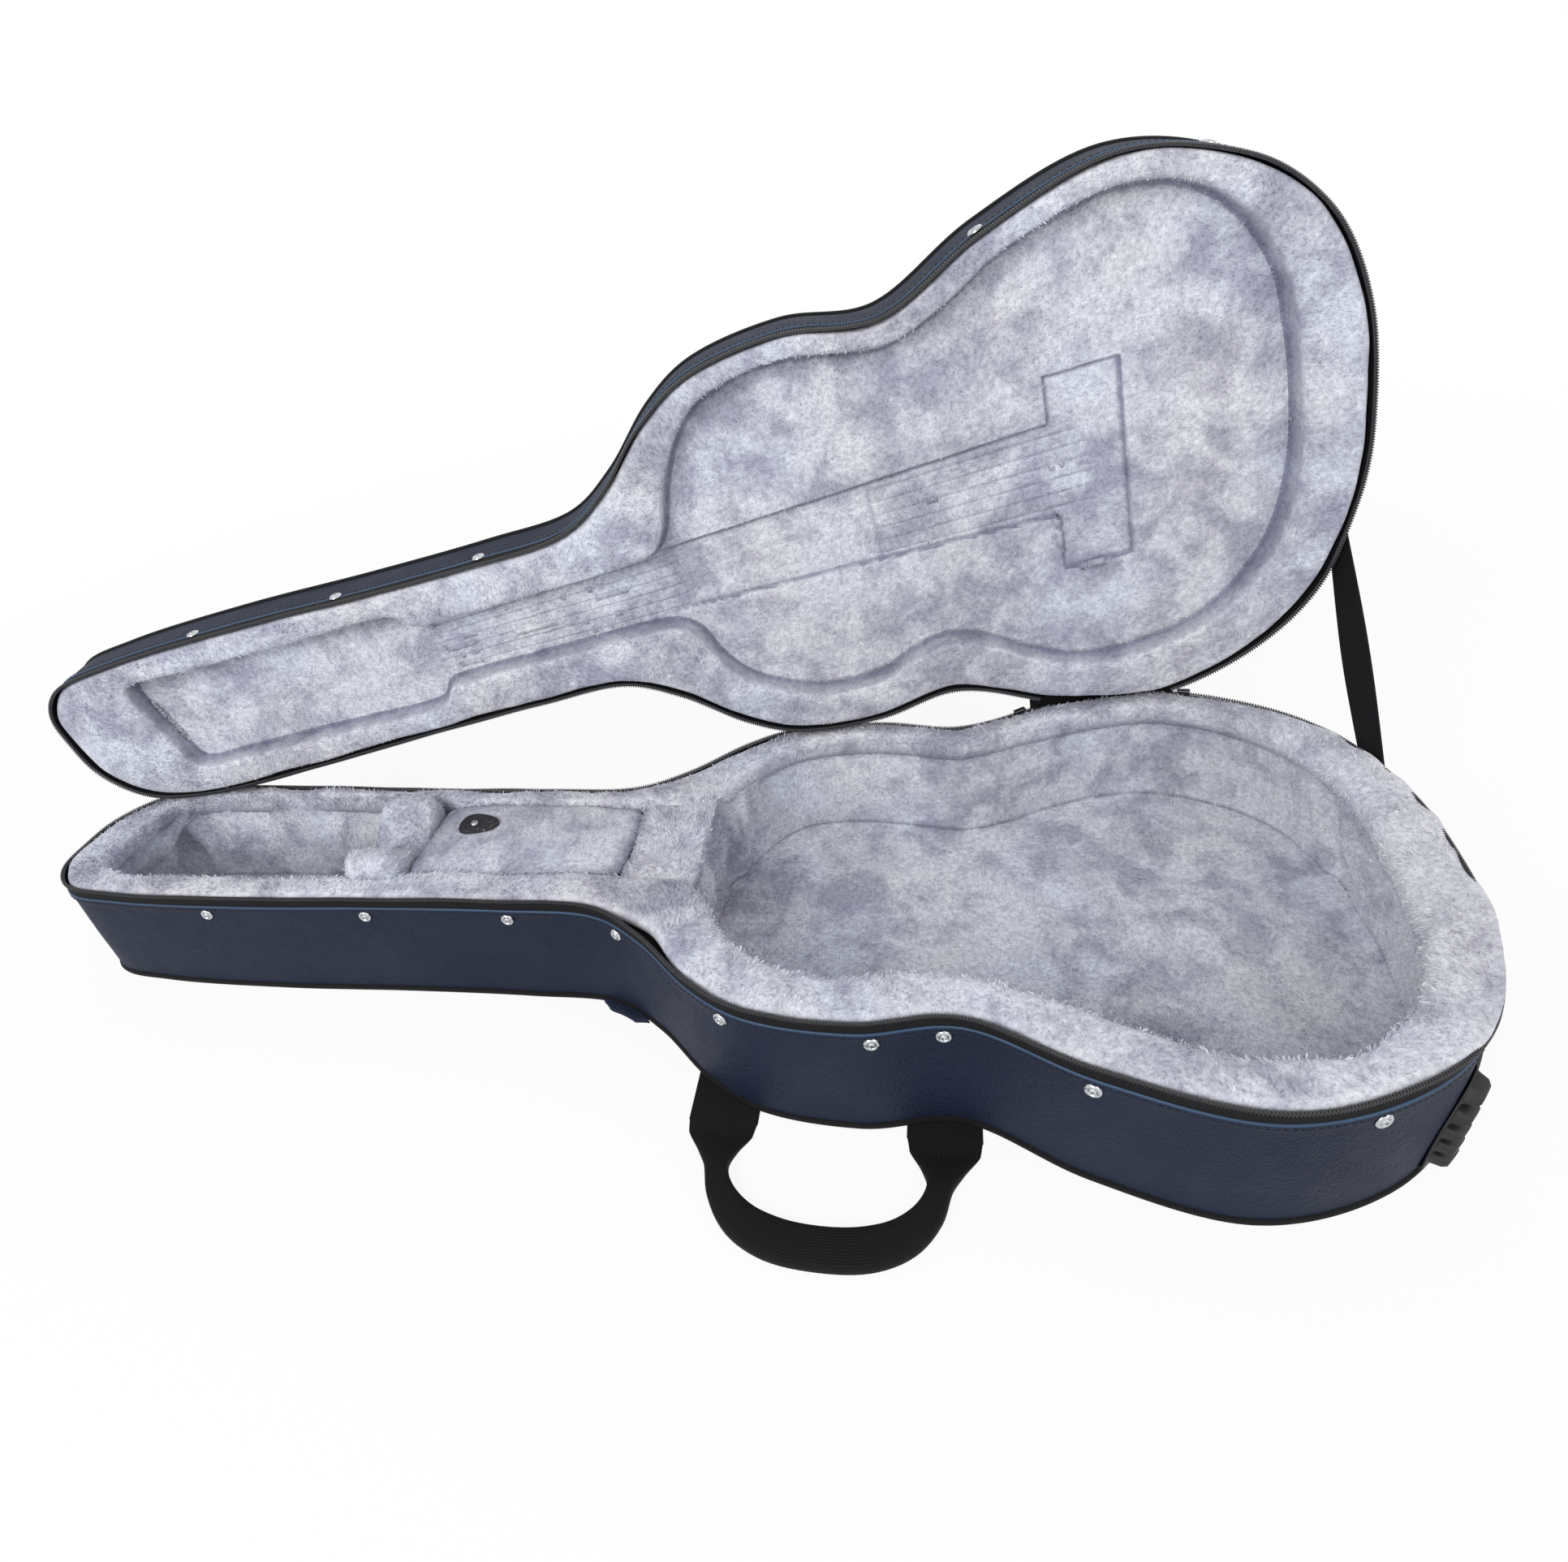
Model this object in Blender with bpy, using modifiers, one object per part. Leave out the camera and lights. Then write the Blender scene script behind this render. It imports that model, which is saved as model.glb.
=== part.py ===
# Classical guitar light case, shown open: foam shell, leatherette cover, zip and plush lining.
# Metres, +Z up. The case is drawn with its head end at x = 0, its tail at x = LENGTH and its near
# side at -Y, and is then moved so that the middle of its length stands on the origin.
# The base stands on z = 0. The lid is modelled closed and then swung open on its hinge line.
import math

import bmesh
import bpy
from mathutils import Matrix, Vector

LENGTH = 1.066            # outside, head end to tail
BASE_RIM = 0.1078         # height of the base's plush rim
LID_GAP = 0.0030          # between the two rims when the case is closed
LID_DEPTH = 0.0490        # lid rim to lid top
LID_RIM = BASE_RIM + LID_GAP
LID_TOP = LID_RIM + LID_DEPTH
GAP = 0.0003              # between touching pieces
CURVE_STEPS = 2           # pieces of each outline span

# Half outline of the case, head to tail, as (x, half width).
SIDE_OUTLINE = [
    (0.080, 0.0700), (0.203, 0.0715), (0.320, 0.0675), (0.428, 0.0660), (0.503, 0.0690),
    (0.544, 0.0920), (0.589, 0.1310), (0.627, 0.1510), (0.697, 0.1580), (0.761, 0.1480),
    (0.834, 0.1790), (0.918, 0.1970), (0.988, 0.1740), (1.034, 0.1320), (1.060, 0.0670),
]
HEAD_NEAR = [(0.003, -0.040), (0.024, -0.062)]      # tight near corner
HEAD_FAR = [(0.030, 0.055), (0.004, 0.024)]         # wide far corner
HEAD_TIP = (0.0, -0.010)

# Half outline of the guitar body's cavity.
CAVITY_OUTLINE = [
    (0.571, 0.042), (0.590, 0.084), (0.625, 0.124), (0.668, 0.135), (0.715, 0.132),
    (0.765, 0.125), (0.800, 0.135), (0.840, 0.156), (0.880, 0.170), (0.925, 0.1745),
    (0.975, 0.158), (1.012, 0.124), (1.034, 0.078), (1.041, 0.020),
]
CAVITY_NECK_END = 0.566
CAVITY_TAIL_END = 1.042

# Shell and cover
COVER = 0.0012            # leatherette
COVER_FOOT = 0.0077
COVER_TOP = BASE_RIM - 0.0100
BACK_THICKNESS = 0.0030
BACK_INSET = 0.0045       # the binding covers the edge
FOAM = 0.0130             # shell wall
FOAM_FOOT = 0.0078
WALL_INSET = 0.0015
FLOOR_TOP = 0.0110        # foam floor
BINDING_RADIUS = 0.0026
BINDING_INSET = 0.0016
BINDING_HEIGHT = 0.0048

# Zip
TAPE = 0.0008
BASE_TAPE = (COVER_TOP + 0.0005, BASE_RIM - 0.0030)
LID_TAPE = (LID_RIM + 0.0030, LID_RIM + 0.0095)
TEETH_RADIUS = 0.0014
TEETH_INSET = 0.0007
TEETH_TO_RIM = 0.0012
ZIP_END_GAP = 0.016       # from the teeth's end to the hinge tape
SLIDER_TO_TAPE = 0.0095
SLIDER = (0.0090, 0.0036, 0.0055)                   # length, thickness, height
PULLER_STANDOFF = 0.0022
PULLER_THICKNESS = 0.0012
PULLER_OUTLINE = [(-0.0008, 0.0045), (0.0060, 0.0040), (0.0120, 0.0055), (0.0260, 0.0065)]

# Plush linings
LINING = 0.0050           # plush with its backing
RIM_PAD = 0.0052
RIM_INSET = 0.0026
UNDER_RIM = BASE_RIM - RIM_PAD - GAP
LINING_FOOT = FLOOR_TOP + GAP
TROUGH_END = 0.514
TROUGH_INSET = 0.0165
HEAD_CAVITY_END = 0.281
HEEL_BLOCK = [(0.5175, -0.0500, LINING_FOOT), (0.5580, 0.0500, UNDER_RIM)]

# Neck rest: profile as (y, z) from the near foot over the two horns to the far foot
REST_FROM = 0.2890
REST_LENGTH = 0.0445
REST_ROUNDING = 0.0060
REST_PROFILE = [
    (-0.0470, LINING_FOOT), (-0.0460, BASE_RIM - 0.0020), (-0.0430, BASE_RIM + 0.0090),
    (-0.0350, BASE_RIM + 0.0120), (-0.0260, BASE_RIM + 0.0105), (-0.0170, BASE_RIM + 0.0045),
    (-0.0080, BASE_RIM + 0.0010), (0.0040, BASE_RIM), (0.0150, BASE_RIM + 0.0020),
    (0.0260, BASE_RIM + 0.0080), (0.0350, BASE_RIM + 0.0120), (0.0430, BASE_RIM + 0.0090),
    (0.0460, BASE_RIM - 0.0020), (0.0470, LINING_FOOT),
]

# Accessory box and its flap
BOX_FROM = 0.338
BOX_HALF_WIDTH = 0.047
BOX_WALL = 0.0020
BOX_TOP = BASE_RIM - 0.0068
FLAP_TOP = BASE_RIM - 0.0022
FLAP_THICKNESS = 0.0042
FLAP_AXIS = Vector((TROUGH_END + 0.0015, 0, FLAP_TOP))
FLAP_OUTLINE = [
    (0.3360, -0.0440), (0.3385, -0.0465), (0.5060, -0.0465), (0.5115, -0.0430),
    (0.5115, 0.0430), (0.5060, 0.0465), (0.3385, 0.0465), (0.3360, 0.0440),
]
TAB_TOP = FLAP_TOP + 0.0018
TAB_OUTLINE = [
    (0.3605, 0.0160), (0.3635, 0.0100), (0.3705, 0.0075), (0.3805, 0.0090), (0.3905, 0.0130),
    (0.3950, 0.0200), (0.3905, 0.0270), (0.3805, 0.0310), (0.3705, 0.0325), (0.3635, 0.0300),
    (0.3605, 0.0240),
]
RIVET_PLACE = (0.3728, 0.0204)
RIVET_PROFILE = [(0.0000, 0.0012), (0.0022, 0.0009), (0.0032, 0.0000)]
FLAP_TAPE = [
    (TROUGH_END + 0.0010, -0.0400, BASE_RIM + GAP),
    (TROUGH_END + 0.0090, 0.0400, BASE_RIM + GAP + TAPE),
]

# Studs: a screw in a cup washer, driven into the foam shell below the zip
STUD_STATIONS = [0.166, 0.312, 0.432, 0.521, 0.612, 0.709, 0.751, 0.830, 0.9705]
LID_STUD_STATIONS = [0.166, 0.2985, 0.4275, 0.830, 0.9705]
STUD_DROP = 0.0190        # below the rim
LID_STUD_DROP = 0.0125    # behind the lid's rim, half hidden by the zip
STUD_STANDOFF = 0.0004
STUD_PROFILE = [
    (0.0000, 0.0020), (0.0022, 0.0018), (0.0030, 0.0012), (0.0046, 0.0022),
    (0.0060, 0.0014), (0.0064, 0.0000),
]
TURN_STEPS = 12

# Rubber guards at the tail corners
GUARD_SPAN = (1.010, 1.0590)
GUARD_STANDOFF = 0.0006
GUARD_FOOT = 0.0095
GUARD_SKIN = 0.0029
RIDGE_DEPTH = 0.0110
RIDGE_WIDTH = 0.0090
NEAR_RIDGES = (0.014, 0.030, 0.046, 0.062)
NEAR_GUARD_TOP = 0.0880
FAR_RIDGES = (0.014, 0.030)
FAR_GUARD_TOP = 0.0560

# Carry handle: half of the loop, as (x past the leg, y, direction in degrees, width, thickness)
WEBBING = 0.0016
WEBBING_WIDTH = 0.048
HANDLE_Y = -0.1625        # fold line, just outside the seam
HANDLE_Z = 0.0012
HANDLE_LEGS = [0.603, 0.749]
HANDLE_PATH = [
    (0.000, -0.1629, -90, 0.048, WEBBING), (0.000, -0.1720, -90, 0.044, 0.0030),
    (0.001, -0.1850, -88, 0.030, 0.0070), (0.003, -0.1990, -80, 0.022, 0.0085),
    (0.010, -0.2150, -62, 0.024, 0.0080), (0.024, -0.2290, -35, 0.026, 0.0080),
    (0.044, -0.2370, -12, 0.026, 0.0080), (0.073, -0.2400, 0, 0.026, 0.0080),
]
ANCHOR_END_Y = -0.1000
ANCHOR_SLACK = 0.0010
POCKET_DEPTH = 0.0022

# Stay strap at the tail
STRAP_X = 1.051
STRAP_WIDTH = 0.025
STRAP_STANDOFF = 0.0028
STRAP_RISE = (BASE_RIM - 0.0130, LID_RIM + 0.0150)
STRAP_PIECES = 8
BASE_PATCH = (BASE_RIM - 0.0480, BASE_RIM - 0.0134)
LID_PATCH = (LID_RIM + 0.0154, LID_RIM + 0.0400)

# Shoulder tab, as spans along the near side with their distance outward
TAB_INNER = (0.488, 0.532, 0.0016)
TAB_OUTER = (0.492, 0.530, 0.0090)
TAB_HEIGHTS = (0.0006, 0.0056)

# Lid
LID_HEAD_RECESS = [(0.078, 0.030), (0.092, 0.046), (0.200, 0.047), (0.338, 0.0465)]
LID_CHANNEL = [(0.360, 0.030), (0.460, 0.030), (0.560, 0.030)]
RECESS_HEAD_END = 0.076
LID_COVER = (LID_RIM + 0.0100, LID_TOP - 0.0035)
LID_FRONT_LOW = LID_TOP - 0.0037
LID_BINDING_HEIGHT = LID_TOP - 0.0004
LID_FOAM_RIM_TOP = LID_RIM + 0.0200
RECESS_LINING = (LID_RIM + 0.0160, LID_RIM + 0.0203)
LID_PANEL = (LID_RIM + 0.0206, LID_TOP - 0.0040)

# Hinge
HINGE_ANGLE = math.radians(8.7)     # the hinge line is skewed to the case's length
HINGE_OFFSET = 0.1704               # from (HINGE_X, 0), square to the hinge line
HINGE_X = 0.8
HINGE_RISE = 0.0166                 # above the base rim
LID_OPEN = math.radians(90)
HINGE_TAPE_SPAN = (0.822, 0.934)
HINGE_TAPE_BASE = (BASE_RIM - 0.0200, BASE_RIM - 0.0010)
HINGE_TAPE_LID = (LID_RIM + 0.0210, LID_RIM + 0.0320)
HINGE_TAPE_STANDOFF = 0.0010

UP = Vector((0, 0, 1))
hinge_line = Vector((math.cos(HINGE_ANGLE), math.sin(HINGE_ANGLE), 0))
hinge_side = Vector((-math.sin(HINGE_ANGLE), math.cos(HINGE_ANGLE), 0))
hinge_point = Vector((HINGE_X, 0, BASE_RIM + HINGE_RISE)) + HINGE_OFFSET * hinge_side
lid_swing = (
    Matrix.Translation(hinge_point)
    @ Matrix.Rotation(-LID_OPEN, 4, hinge_line)
    @ Matrix.Translation(-hinge_point)
)


# Scene set-up

def clear_scene():
    for obj in list(bpy.data.objects):
        bpy.data.objects.remove(obj, do_unlink=True)


def make_collection(name):
    group = bpy.data.collections.new(name)
    bpy.context.scene.collection.children.link(group)
    return group


clear_scene()
parts = make_collection("guitar_case")
cutters = make_collection("cutters")


def make_material(name, color, roughness, metallic=0.0):
    material = bpy.data.materials.new(name)
    material.use_nodes = True
    shader = material.node_tree.nodes["Principled BSDF"]
    shader.inputs["Base Color"].default_value = (*color, 1)
    shader.inputs["Roughness"].default_value = roughness
    shader.inputs["Metallic"].default_value = metallic
    return material


navy = make_material("navy_leatherette", (0.030, 0.042, 0.085), 0.55)
plush = make_material("grey_plush", (0.52, 0.54, 0.62), 0.95)
webbing = make_material("black_webbing", (0.016, 0.016, 0.018), 0.85)
zip_black = make_material("black_zip", (0.014, 0.014, 0.016), 0.45)
foam = make_material("shell_foam", (0.72, 0.72, 0.70), 0.9)
steel = make_material("bright_steel", (0.62, 0.63, 0.64), 0.22, 1.0)
rubber = make_material("black_rubber", (0.012, 0.012, 0.013), 0.7)


# Outlines

def smooth_ring(points, steps=CURVE_STEPS):
    # a closed centripetal spline through the points
    points = [Vector(p) for p in points]
    count = len(points)
    ring = []
    for i in range(count):
        p = [points[(i + k) % count] for k in (-1, 0, 1, 2)]
        knots = [0.0]
        for k in range(3):
            knots.append(knots[-1] + (p[k + 1] - p[k]).length ** 0.5)
        for step in range(steps):
            t = knots[1] + (knots[2] - knots[1]) * step / steps
            ring.append(spline_point(p, knots, t))
    return ring


def spline_point(p, knots, t):
    first = [p[k].lerp(p[k + 1], (t - knots[k]) / (knots[k + 1] - knots[k])) for k in range(3)]
    second = [first[k].lerp(first[k + 1], (t - knots[k]) / (knots[k + 2] - knots[k])) for k in range(2)]
    return second[0].lerp(second[1], (t - knots[1]) / (knots[2] - knots[1]))


def mirrored(side):
    near = [(x, -y) for x, y in side]
    far = [(x, y) for x, y in reversed(side)]
    return near, far


def offset_ring(ring, distance):
    # moves each point inward, keeping the sides parallel; the ring runs anticlockwise
    moved = []
    for i, point in enumerate(ring):
        before = (point - ring[i - 1]).normalized()
        after = (ring[(i + 1) % len(ring)] - point).normalized()
        along = (before + after).normalized()
        inward = Vector((-along.y, along.x))
        stretch = max(0.6, inward.dot(Vector((-before.y, before.x))))
        moved.append(point + inward * distance / stretch)
    return moved


def cut_ring(ring, x_limit):
    # the part of a ring up to x_limit, closed by a straight edge
    kept = []
    for i, point in enumerate(ring):
        following = ring[(i + 1) % len(ring)]
        if point.x <= x_limit:
            kept.append(point)
        if (point.x - x_limit) * (following.x - x_limit) < 0:
            share = (x_limit - point.x) / (following.x - point.x)
            kept.append(point.lerp(following, share))
    return kept


near_side, far_side = mirrored(SIDE_OUTLINE)
outline_points = HEAD_NEAR + near_side + [(LENGTH, 0.0)] + far_side + HEAD_FAR + [HEAD_TIP]
outline = smooth_ring(outline_points)

near_side, far_side = mirrored(CAVITY_OUTLINE)
cavity = smooth_ring([(CAVITY_NECK_END, 0.0)] + near_side + [(CAVITY_TAIL_END, 0.0)] + far_side)


def crossing(ring, x, side):
    # where a ring passes x on the near (-1) or far (+1) side: the index before, the point, the direction
    for i, a in enumerate(ring):
        b = ring[(i + 1) % len(ring)]
        if (a.y + b.y) * side > 0 and min(a.x, b.x) <= x < max(a.x, b.x):
            return i, a.lerp(b, (x - a.x) / (b.x - a.x)), (b - a).normalized()
    raise ValueError("the ring does not reach this place")


def station(x, side):
    _, point, direction = crossing(outline, x, side)
    return point, direction


def outward(direction):
    return Vector((direction.y, -direction.x))


def side_run(x_from, x_to, side, distance):
    # the outline between two places on one side, moved outward
    ring = offset_ring(outline, -distance)
    first, last = (x_from, x_to) if side < 0 else (x_to, x_from)
    i, start, _ = crossing(ring, first, side)
    k, end, _ = crossing(ring, last, side)
    return [start] + ring[i + 1:k + 1] + [end]


def at_height(run, z):
    return [Vector((p.x, p.y, z)) for p in run]


# Building blocks

def add_object(name, data, material, group=parts):
    obj = bpy.data.objects.new(name, data)
    obj.data.materials.append(material)
    group.objects.link(obj)
    return obj


def mesh_object(name, bm, material):
    bmesh.ops.recalc_face_normals(bm, faces=bm.faces)
    mesh = bpy.data.meshes.new(name)
    bm.to_mesh(mesh)
    bm.free()
    return add_object(name, mesh, material)


def plate(name, rings, heights, material):
    # a flat piece between two heights: the first ring is its edge, the others are holes
    low, high = heights
    curve = bpy.data.curves.new(name, "CURVE")
    curve.dimensions = "2D"
    curve.fill_mode = "BOTH"
    curve.extrude = (high - low) / 2
    for ring in rings:
        spline = curve.splines.new("POLY")
        spline.points.add(len(ring) - 1)
        for point, place in zip(spline.points, ring):
            point.co = (place.x, place.y, 0, 1)
        spline.use_cyclic_u = True
    obj = add_object(name, curve, material)
    obj.location.z = (low + high) / 2
    return obj


def tube(name, path, radius, material, closed=True):
    curve = bpy.data.curves.new(name, "CURVE")
    curve.dimensions = "3D"
    curve.bevel_depth = radius
    curve.bevel_resolution = 1
    curve.use_fill_caps = not closed
    spline = curve.splines.new("POLY")
    spline.points.add(len(path) - 1)
    for point, place in zip(spline.points, path):
        point.co = (*place, 1)
    spline.use_cyclic_u = closed
    return add_object(name, curve, material)


def shell_wall(name, ring, heights, thickness, material):
    # an upright skin round a ring, thickened inward
    low, high = heights
    bm = bmesh.new()
    verts = [bm.verts.new(p) for p in at_height(ring, low)]
    edges = [bm.edges.new((verts[i - 1], verts[i])) for i in range(len(verts))]
    grown = bmesh.ops.extrude_edge_only(bm, edges=edges)
    top = [v for v in grown["geom"] if isinstance(v, bmesh.types.BMVert)]
    bmesh.ops.translate(bm, verts=top, vec=UP * (high - low))
    face_outward(bm, ring)
    mesh = bpy.data.meshes.new(name)
    bm.to_mesh(mesh)
    bm.free()
    obj = add_object(name, mesh, material)
    thicken(obj, thickness)
    return obj


def face_outward(bm, ring):
    bm.normal_update()
    spans = []
    for a, b in zip(ring, ring[1:] + ring[:1]):
        spans.append(((a + b) / 2, outward((b - a).normalized())))
    for face in bm.faces:
        middle = face.calc_center_median().xy
        _, side = min(spans, key=lambda span: (span[0] - middle).length)
        if face.normal.xy.dot(side) < 0:
            face.normal_flip()


def thicken(obj, thickness, offset=-1):
    solid = obj.modifiers.new("thickness", "SOLIDIFY")
    solid.thickness = thickness
    solid.offset = offset
    solid.use_even_offset = True
    solid.thickness_clamp = 0


def unit_block(low, high):
    bm = bmesh.new()
    bmesh.ops.create_cube(bm, size=1.0)
    bmesh.ops.scale(bm, verts=bm.verts, vec=Vector(high) - Vector(low))
    bmesh.ops.translate(bm, verts=bm.verts, vec=(Vector(low) + Vector(high)) / 2)
    return bm


def block(name, low, high, material):
    return mesh_object(name, unit_block(low, high), material)


def round_edges(obj, width, segments):
    bevel = obj.modifiers.new("edges", "BEVEL")
    bevel.width = width
    bevel.segments = segments
    bevel.limit_method = "ANGLE"
    bevel.angle_limit = math.radians(40)


def loft(name, sections, material):
    # joins rings with the same number of corners and closes both ends
    bm = bmesh.new()
    rings = [[bm.verts.new(corner) for corner in section] for section in sections]
    for ring, following in zip(rings, rings[1:]):
        for k in range(len(ring)):
            nxt = (k + 1) % len(ring)
            bm.faces.new((ring[k], ring[nxt], following[nxt], following[k]))
    bm.faces.new(rings[0])
    bm.faces.new(rings[-1])
    return mesh_object(name, bm, material)


def strip_section(centre, across, through, width, thickness):
    # the four corners of a flat strap
    half = across.normalized() * width / 2
    deep = through.normalized() * thickness / 2
    return [centre - half - deep, centre + half - deep, centre + half + deep, centre - half + deep]


def turned(name, profile, material):
    # a profile of (radius, height), top first, turned about Z
    bm = bmesh.new()
    verts = [bm.verts.new((r, 0, z)) for r, z in profile]
    last = bm.verts.new((0, 0, profile[-1][1]))
    for a, b in zip(verts, verts[1:] + [last]):
        bm.edges.new((a, b))
    mesh = bpy.data.meshes.new(name)
    bm.to_mesh(mesh)
    bm.free()
    obj = add_object(name, mesh, material)
    screw = obj.modifiers.new("turn", "SCREW")
    screw.steps = TURN_STEPS
    screw.render_steps = TURN_STEPS
    screw.use_merge_vertices = True
    screw.merge_threshold = 0.00001
    screw.use_smooth_shade = True
    return obj


def make_pivot(name, place):
    pivot = bpy.data.objects.new(name, None)
    pivot.location = place
    parts.objects.link(pivot)
    return pivot


def hang(piece, pivot):
    piece.parent = pivot
    bpy.context.view_layer.update()
    piece.matrix_parent_inverse = pivot.matrix_world.inverted()


# Base shell and cover

def make_base_shell():
    back = plate("back_cover", [offset_ring(outline, BACK_INSET)], (0.0, BACK_THICKNESS), navy)
    cut_handle_pockets(back)
    shell_wall("base_side_cover", outline, (COVER_FOOT, COVER_TOP), COVER, navy)
    wall = [offset_ring(outline, WALL_INSET), offset_ring(outline, WALL_INSET + FOAM)]
    plate("base_foam_wall", wall, (FOAM_FOOT, UNDER_RIM), foam)
    floor = offset_ring(outline, WALL_INSET + FOAM + GAP)
    plate("base_foam_floor", [floor], (BACK_THICKNESS + GAP, FLOOR_TOP), foam)
    seam = at_height(offset_ring(outline, BINDING_INSET), BINDING_HEIGHT)
    tube("base_binding", seam, BINDING_RADIUS, webbing)


def cut_handle_pockets(back):
    # shallow pockets under the back take the sewn ends of the handle
    depsgraph = bpy.context.evaluated_depsgraph_get()
    mesh = bpy.data.meshes.new_from_object(back.evaluated_get(depsgraph))
    bm = bmesh.new()
    bm.from_mesh(mesh)
    bmesh.ops.remove_doubles(bm, verts=bm.verts, dist=0.00001)
    bm.to_mesh(mesh)
    bm.free()
    solid = bpy.data.objects.new("back_cover_solid", mesh)
    solid.matrix_world = back.matrix_world
    bpy.data.objects.remove(back, do_unlink=True)
    solid.name = "back_cover"
    parts.objects.link(solid)
    for x in HANDLE_LEGS:
        reach = WEBBING_WIDTH / 2 + GAP
        low = (x - reach, HANDLE_Y, -POCKET_DEPTH)
        high = (x + reach, ANCHOR_END_Y + GAP, POCKET_DEPTH)
        cutter = block(f"handle_pocket_{x:.3f}", low, high, navy)
        parts.objects.unlink(cutter)
        cutters.objects.link(cutter)
        cutter.hide_render = True
        cutter.display_type = "WIRE"
        pocket = solid.modifiers.new("pocket", "BOOLEAN")
        pocket.operation = "DIFFERENCE"
        pocket.solver = "EXACT"
        pocket.object = cutter


# Zip: the tape runs all round, the teeth stop at the hinge tape

def zip_run():
    # from one end of the hinge tape round to the other, the long way
    ring = offset_ring(outline, TEETH_INSET)
    tape_from, tape_to = HINGE_TAPE_SPAN
    i, start, _ = crossing(ring, tape_from - ZIP_END_GAP, 1)
    k, end, _ = crossing(ring, tape_to + ZIP_END_GAP, 1)
    return [start] + ring[i + 1:] + ring[:k + 1] + [end]


def make_zip(prefix, tape_heights, teeth_height):
    tape = shell_wall(f"{prefix}_zip_tape", offset_ring(outline, GAP), tape_heights, TAPE, zip_black)
    path = at_height(zip_run(), teeth_height)
    teeth = tube(f"{prefix}_zip_teeth", path, TEETH_RADIUS, zip_black, closed=False)
    return [tape, teeth]


# Linings

def make_linings():
    trough = cut_ring(offset_ring(outline, TROUGH_INSET), TROUGH_END)
    rim = [offset_ring(outline, RIM_INSET), offset_ring(cavity, -GAP), trough]
    plate("rim_lining", rim, (BASE_RIM - RIM_PAD, BASE_RIM), plush)
    wall_heights = (LINING_FOOT, UNDER_RIM)
    floor_heights = (LINING_FOOT, LINING_FOOT + LINING)
    plate("body_wall_lining", [offset_ring(cavity, -LINING), cavity], wall_heights, plush)
    plate("body_floor_lining", [offset_ring(cavity, GAP)], floor_heights, plush)
    foam_inside = WALL_INSET + FOAM
    head_outer = cut_ring(offset_ring(outline, foam_inside + GAP), HEAD_CAVITY_END + LINING)
    head_inner = cut_ring(offset_ring(outline, foam_inside + LINING), HEAD_CAVITY_END)
    plate("head_wall_lining", [head_outer, head_inner], wall_heights, plush)
    head_floor = cut_ring(offset_ring(outline, foam_inside + LINING + GAP), HEAD_CAVITY_END - GAP)
    plate("head_floor_lining", [head_floor], floor_heights, plush)
    block("heel_block", *HEEL_BLOCK, plush)


def make_neck_rest():
    # a block across the neck with a rounded notch for the neck to lie in
    bm = bmesh.new()
    verts = [bm.verts.new((REST_FROM, y, z)) for y, z in REST_PROFILE]
    face = bm.faces.new(verts)
    grown = bmesh.ops.extrude_face_region(bm, geom=[face])
    moved = [v for v in grown["geom"] if isinstance(v, bmesh.types.BMVert)]
    bmesh.ops.translate(bm, verts=moved, vec=(REST_LENGTH, 0, 0))
    rest = mesh_object("neck_rest", bm, plush)
    round_edges(rest, REST_ROUNDING, 3)


# Accessory box

def make_accessory_box():
    low = (BOX_FROM - BOX_WALL, -BOX_HALF_WIDTH - BOX_WALL, LINING_FOOT)
    high = (TROUGH_END + BOX_WALL, BOX_HALF_WIDTH + BOX_WALL, BOX_TOP)
    bm = unit_block(low, high)
    lid_face = max(bm.faces, key=lambda f: f.calc_center_median().z)
    bmesh.ops.delete(bm, geom=[lid_face], context="FACES_ONLY")
    box = mesh_object("accessory_box", bm, plush)
    thicken(box, BOX_WALL)
    make_flap()


def make_flap():
    pivot = make_pivot("flap_pivot", FLAP_AXIS)
    ring = [Vector(c) for c in FLAP_OUTLINE]
    flap = plate("accessory_flap", [ring], (FLAP_TOP - FLAP_THICKNESS, FLAP_TOP), plush)
    tab_ring = [Vector(c) for c in TAB_OUTLINE]
    tab = plate("flap_pull_tab", [tab_ring], (FLAP_TOP + GAP, TAB_TOP), rubber)
    rivet = turned("flap_rivet", RIVET_PROFILE, steel)
    rivet.location = (*RIVET_PLACE, TAB_TOP + GAP)
    for piece in (flap, tab, rivet):
        hang(piece, pivot)
    block("flap_hinge_tape", *FLAP_TAPE, webbing)


# Studs, guards, handle, strap and tabs

def make_stud(name, x, height):
    point, direction = station(x, -1)
    normal = outward(direction).to_3d()
    stud = turned(name, STUD_PROFILE, steel)
    place = Matrix.Translation(point.to_3d() + normal * STUD_STANDOFF + UP * height)
    stud.matrix_world = place @ normal.to_track_quat("Z", "Y").to_matrix().to_4x4()
    return stud


def make_tail_guard(name, side, ridges, top):
    run = side_run(*GUARD_SPAN, side, GUARD_STANDOFF)
    profile = [(GUARD_SKIN, GUARD_FOOT)]
    for low in ridges:
        high = low + RIDGE_WIDTH
        profile += [(GUARD_SKIN, low), (RIDGE_DEPTH, low), (RIDGE_DEPTH, high), (GUARD_SKIN, high)]
    profile += [(GUARD_SKIN, top), (0.0, top), (0.0, GUARD_FOOT)]
    sections = []
    for i, point in enumerate(run):
        along = run[min(i + 1, len(run) - 1)] - run[max(i - 1, 0)]
        normal = outward(along.normalized()).to_3d()
        sections.append([point.to_3d() + normal * depth + UP * z for depth, z in profile])
    loft(name, sections, rubber)


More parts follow.
